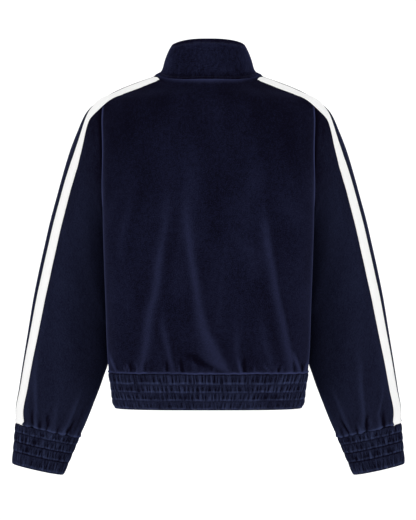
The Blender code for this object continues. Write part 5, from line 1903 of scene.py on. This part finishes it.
@dataclass
class Stripe:
    """Tape sewn on from the collar along the shoulder and down the sleeve to the cuff."""

    torso: TorsoForm
    sleeve: Sleeve
    finishes: Wardrobe
    width: float = 2.15 * CM
    thickness: float = 0.45 * MM
    across: int = 14
    end: float = 0.998
    stretch: float = 0.06
    neck_roll: SeamRoll = BodyPanels.neck_roll
    shoulder_steps: int = 60
    sleeve_steps: int = 260
    angle_steps: int = 220
    widest_angle: float = math.radians(150.0)
    walk_steps: int = 20
    corrections: int = 3
    ease_rows: float = 22.0
    ease_rounds: int = 30
    stitch_inset: float = 1.6 * MM
    lift_off: float = 0.15 * MM
    armhole_rise: Bump = Bump(0.9 * MM, 12.0 * MM)
    shoulder_behind: Table = ((9.1, 0.15), (14.0, 0.25), (19.7, 0.25))
    sleeve_behind: Table = (
        (0.0, 0.22), (0.03, 0.30), (0.045, 0.55), (0.058, 0.95), (0.071, 1.58), (0.10, 2.62), (0.13, 3.20),
        (0.165, 3.36), (0.20, 3.20), (0.255, 2.88), (0.325, 2.68), (0.468, 2.44), (0.625, 2.24),
        (0.713, 1.92), (0.80, 1.58), (0.886, 1.30), (0.96, 0.72), (1.0, 0.50),
    )

    def walked(self, points: Array, along: Array, distance: Array) -> Array:
        """Points moved over the torso in small steps square to a direction, each set back on it.

        Args:
            points: Starting points on the torso.
            along: The directions to stay square to.
            distance: How far each point goes.

        Returns:
            The points reached.
        """
        for _ in range(self.walk_steps):
            normals = self.torso.normal(points)
            way = unit(np.cross(normals, along))
            points = points + way * (distance / self.walk_steps)[..., None]
            for _ in range(self.corrections):
                reach = 0.1 * MM
                slope = self.torso.field(points + normals * reach)
                slope = slope - self.torso.field(points - normals * reach)
                miss = (self.torso.field(points) - 1.0) * 2.0 * reach / slope
                points = points - normals * miss[..., None]
        return points

    def on_shoulder(self, across: Array) -> Array:
        """Rows of points across the stripe on the shoulder, from the collar out.

        Args:
            across: Distances from the stripe's front edge.

        Returns:
            The grid of points, walked back from the ridge of the shoulder.
        """
        places = np.array(self.shoulder_behind) * CM
        ridge = np.array(self.torso.rings[:10:-1]) * CM
        x = np.linspace(places[0, 0], places[-1, 0], self.shoulder_steps)
        level = np.interp(x, ridge[:, 1], ridge[:, 0])
        line = np.stack([x, self.torso.sizes(level)["widest_y"], level], axis=-1)
        along = unit(np.gradient(line, axis=0))[:, None, :]
        start = smooth_curve(places[:, 0], places[:, 1], x)
        wider = 1.0 + self.stretch * bell(places[-1, 0] - x, 5.0 * CM)
        line = np.repeat(line[:, None, :], len(across), axis=1)
        return self.walked(line, along, start[:, None] + across * wider[:, None])

    def on_sleeve(self, across: Array) -> Array:
        """Rows of points across the stripe on the creased sleeve, from the armhole down.

        Args:
            across: Distances from the stripe's front edge, measured square to the sleeve.

        Returns:
            The grid of points.
        """
        shares = self.end * fine_steps(self.sleeve_steps - 1, False, True, 0.06)
        angles = np.linspace(0.0, self.widest_angle, self.angle_steps)
        share, angle = np.meshgrid(shares, angles, indexing="ij")
        rings = self.sleeve.gathered(self.sleeve.creased(share, angle, False), share, angle).points
        behind = np.array(self.sleeve_behind)
        start = smooth_curve(behind[:, 0], behind[:, 1] * CM, shares)
        down = unit(np.gradient(self.sleeve.form.points(share[:, 0], angle[:, 0]), axis=0))
        wider = 1.0 + self.stretch * bell(shares * self.sleeve.length, 1.8 * CM)
        rows = []
        for ring, first, way, wide in zip(rings, start, down, wider):
            steps = np.diff(ring, axis=0)
            steps = steps - (steps @ way)[:, None] * way
            length = np.concatenate([[0.0], np.cumsum(np.linalg.norm(steps, axis=1))])
            rows.append(read_along(first + across * wide, length, ring))
        return np.array(rows)

    def eased(self, points: Array) -> Array:
        """Rows averaged with their neighbours where the tape turns over the armhole seam.

        Args:
            points: The grid of points.

        Returns:
            The grid, with its first and last rows in place.
        """
        rows = np.arange(len(points)) - (self.shoulder_steps - 1)
        weight = np.clip(1.0 - np.abs(rows) / self.ease_rows, 0.0, 1.0)[:, None, None]
        for _ in range(self.ease_rounds):
            smooth = points.copy()
            smooth[1:-1] = 0.25 * points[:-2] + 0.5 * points[1:-1] + 0.25 * points[2:]
            points = points + (smooth - points) * weight
        return points

    def build(self) -> list[Pair]:
        """Make the stripe.

        Returns:
            The lines of topstitching along its two edges.
        """
        hand = self.sleeve.hand
        share = np.linspace(0.0, 1.0, self.across)
        across = self.width * share
        points = np.concatenate([self.on_shoulder(across)[:-1], self.on_sleeve(across)[1:]])
        points = self.eased(points)
        edge = 1.0 - np.abs(2.0 * share - 1.0) ** 14
        inset = np.minimum(across, self.width - across) - self.stitch_inset
        height = self.lift_off + self.thickness * edge - self.lift_off * bell(inset, 0.6 * MM)
        from_neck = lengths_along(points)
        height = height + self.neck_roll.lift(from_neck) * (from_neck > 0.5 * MM)
        height = height + self.armhole_rise.over(from_neck - from_neck[self.shoulder_steps - 1])
        patch = Patch(points).lifted(height).placed(hand)
        obj = cloth_object(f"stripe_{hand.word}_tape", patch, self.finishes.stripe, 0.5 * MM)
        own(obj, "off_white_tape", f"stripe_{hand.word}")
        normals = patch.normals()
        first = int(np.argmin(np.abs(across - self.stitch_inset)))
        columns = (first, self.across - 1 - first)
        return [(patch.points[1:-1, c], normals[1:-1, c]) for c in columns]


# ---- zip


@dataclass
class Zip:
    """Tapes, teeth, bottom box, slider and pull, closed to the top of the collar."""

    torso: TorsoForm
    collar: Collar
    finishes: Wardrobe
    bottom: float = -59.45 * CM
    top: float = 0.55 * CM
    aside: tuple[float, ...] = (1.0, 0.0, 0.0)
    tape_from: float = 1.2 * MM
    tape_half_width: float = 1.00 * CM
    cord: Bump = Bump(0.5 * MM, 0.08, 0.12)
    behind: Table = (
        (-61.0, 3.2), (-54.5, 3.2), (-52.0, 2.5), (-10.5, 2.5), (-8.7, 5.4), (-5.5, 5.2),
        (-2.0, 4.1), (2.0, 4.1),
    )
    tape_rows: int = 260
    tape_columns: int = 14
    tooth_pitch: float = 2.9 * MM
    tooth_depth: float = 1.05 * MM
    tooth_out: float = 0.45 * MM
    tooth: Table = (
        (3.0, 0.55), (2.2, 0.62), (1.2, 0.60), (0.3, 0.55), (-0.5, 0.80), (-1.1, 0.72), (-1.35, 0.30),
    )

    def path(self, heights: Array) -> Pair:
        """The tape's line behind the front's surface, and the directions out of the front.

        Args:
            heights: Heights along it, rising.

        Returns:
            The points and the directions.
        """
        front = self.torso.half_panel(Side.FRONT, 7, 40.0 * MM)[:, -1]
        line = np.concatenate([front, self.collar.outer()[1:, 0]])
        hem = self.torso.ring(np.array(-QUARTER), self.torso.waist_seam - Waistband.height)
        line = np.concatenate([hem[None], line])
        y = smooth_curve(line[:, 2], line[:, 1], heights)
        surface = np.stack([np.zeros(len(heights)), y, heights], axis=-1)
        out = np.cross(self.aside, unit(np.gradient(surface, axis=0)))
        back = np.array(self.behind)
        depth = np.interp(heights, back[:, 0] * CM, back[:, 1] * MM)
        return surface - out * depth[:, None], out

    def tape(self, hand: Hand) -> None:
        """One woven tape, with a cord along its inner edge.

        Args:
            hand: Which tape.
        """
        points, out = self.path(np.linspace(self.bottom, self.top, self.tape_rows))
        share = np.linspace(0.0, 1.0, self.tape_columns)
        x = self.tape_from + (self.tape_half_width - self.tape_from) * share
        raised = self.cord.over(share) - 0.1 * MM
        grid = points[:, None] + out[:, None] * raised[:, None] + x[:, None] * np.array(self.aside)
        patch = Patch(grid, False, -1.0).placed(hand)
        obj = cloth_object(f"zip_tape_{hand.word}_woven", patch, self.finishes.tape, 0.6 * MM)
        own(obj, "zip_tape", f"zip_tape_{hand.word}")

    def teeth(self) -> None:
        """Interlocked teeth, from either side in turn: tapered blocks with thinner heads."""
        heights = np.arange(self.bottom + 7.0 * MM, self.top - 9.5 * MM, self.tooth_pitch / 2)
        points, out = (values[:, None, None] for values in self.path(heights))
        aside = np.array(self.aside)
        hand = np.where(np.arange(len(heights)) % 2 == 0, 1.0, -1.0)[:, None, None, None]
        along = np.cross(out, aside)
        profile = np.array(self.tooth)[:, None] * MM
        corner = np.array([(1, 1), (-1, 1), (-1, -1), (1, -1)], float)
        head = np.where(profile[..., :1] < -1.2 * MM, 0.6, 1.0)
        front = self.tooth_depth * corner[None, :, 1:] * head
        side = profile[..., 1:] * corner[None, :, :1]
        block = points + hand * (profile[..., :1] * aside) + side * along * hand
        block = block + front * out + self.tooth_out * out
        rings = len(self.tooth)
        last = 4 * rings - 1
        caps = np.array([[0, 1, 2, 3], [last, last - 1, last - 2, last - 3]])
        faces = np.concatenate([grid_quads(rings, 4, True), caps])
        quads = repeated(faces, 4 * rings, len(heights))
        obj = mesh_object("zip_teeth", block, quads, self.finishes.teeth)
        rounding = obj.modifiers.new("rounded_edges", "BEVEL")
        rounding.width = 0.15 * MM
        rounding.segments = 1
        own(obj, "zip_teeth", "zip_chain")

    def build(self) -> None:
        """Make the zip."""
        for hand in Hand:
            self.tape(hand)
        self.teeth()
        for node in ("zip_slider", "zip_pull", "zip_box"):
            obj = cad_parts[node]
            obj.data.materials.clear()
            obj.data.materials.append(self.finishes.metal)
            LOG.info("%s: kept, in metal", node)


# ---- studio


@dataclass(frozen=True)
class Studio:
    """Pale floor that curves up into a backdrop, soft lights and the camera."""

    camera_distance: float = 3.2
    camera_height: float = -0.335
    camera_x: float = 0.0007
    lens: float = 121.85
    floor_z: float = -0.90
    daylight: float = 0.68

    def backdrop(self) -> None:
        """Floor and wall as one sheet: a profile of floor, quarter circle and wall, swept in x."""
        radius, reach, wall, top, side = 1.6, 9.0, -5.2, 6.0, 9.0
        bend = np.linspace(0.0, QUARTER, 24)
        curve = np.stack([wall - radius * np.sin(bend), self.floor_z + radius * (1.0 - np.cos(bend))], 1)
        profile = [(reach, self.floor_z), (0.0, self.floor_z), *curve, (wall - radius, top)]
        grid = np.array([[(x, y, z) for x in (-side, 0.0, side)] for y, z in profile])
        material = Plain("studio_paper", (0.93, 0.93, 0.93), 0.9, 3.0).build()
        paper = mesh_object("studio_floor", grid, grid_quads(len(profile), 3, False), material)

    def light(self, name: str, place: Triple, aim: Triple, size: float, power: float) -> None:
        """A soft square lamp that faces a point.

        Args:
            name: The lamp's name.
            place: Where it hangs.
            aim: The point.
            size: Length of its side.
            power: Its power in watts.
        """
        lamp = bpy.data.lights.new(name, "AREA")
        lamp.energy = power
        lamp.size = size
        obj = bpy.data.objects.new(name, lamp)
        obj.location = place
        x, y, z = np.array(aim) - np.array(place)
        obj.rotation_euler = (math.atan2(math.hypot(x, y), -z), 0.0, math.atan2(y, x) - QUARTER)
        bpy.context.scene.collection.objects.link(obj)

    def build(self) -> None:
        """Set up the stage, the lights, the world and the camera."""
        self.backdrop()
        middle = (0.0, 0.0, -0.35)
        self.light("key_left", (2.3, 2.3, 0.1), middle, 1.4, 28.0)
        self.light("key_right", (-2.3, 2.3, 0.0), middle, 1.4, 26.0)
        self.light("top", (0.0, 0.6, 2.2), middle, 1.6, 9.0)
        self.light("front", (0.0, -2.8, 0.8), middle, 2.0, 28.0)
        self.light("paper_light", (0.0, -3.6, 3.2), (0.0, -6.4, -0.6), 3.0, 120.0)
        world = bpy.data.worlds.new("studio_air")
        world.use_nodes = True
        air = world.node_tree.nodes["Background"].inputs
        air["Color"].default_value = (1.0, 1.0, 1.0, 1.0)
        air["Strength"].default_value = self.daylight
        bpy.context.scene.world = world
        bpy.context.scene.view_settings.view_transform = "Standard"
        camera = bpy.data.cameras.new("camera")
        camera.lens = self.lens
        camera.sensor_width = 36.0
        obj = bpy.data.objects.new("camera", camera)
        obj.location = (self.camera_x, self.camera_distance, self.camera_height)
        obj.rotation_euler = (QUARTER, 0.0, math.pi)
        bpy.context.scene.collection.objects.link(obj)
        bpy.context.scene.camera = obj


# ---- assembly


def main() -> None:
    """Build and dress every piece, in order, then set up the studio."""
    logging.basicConfig(level=logging.INFO, format="%(name)s %(message)s")
    finishes = Wardrobe()
    torso = TorsoForm()
    form = SleeveForm(torso)
    BodyPanels(torso, finishes).build()
    collar = Collar(torso, finishes)
    collar.build()
    Waistband(torso, finishes).build()
    lines = []
    for hand in Hand:
        sleeve = Sleeve(form, finishes, hand)
        sleeve.build()
        Cuff(form, finishes, hand).build()
        lines += Stripe(torso, sleeve, finishes).build()
    own(StitchRow().build("stripe_topstitch", lines, finishes.white_thread), "off_white_tape")
    Zip(torso, collar, finishes).build()
    Studio().build()


if __name__ == "__main__":
    main()
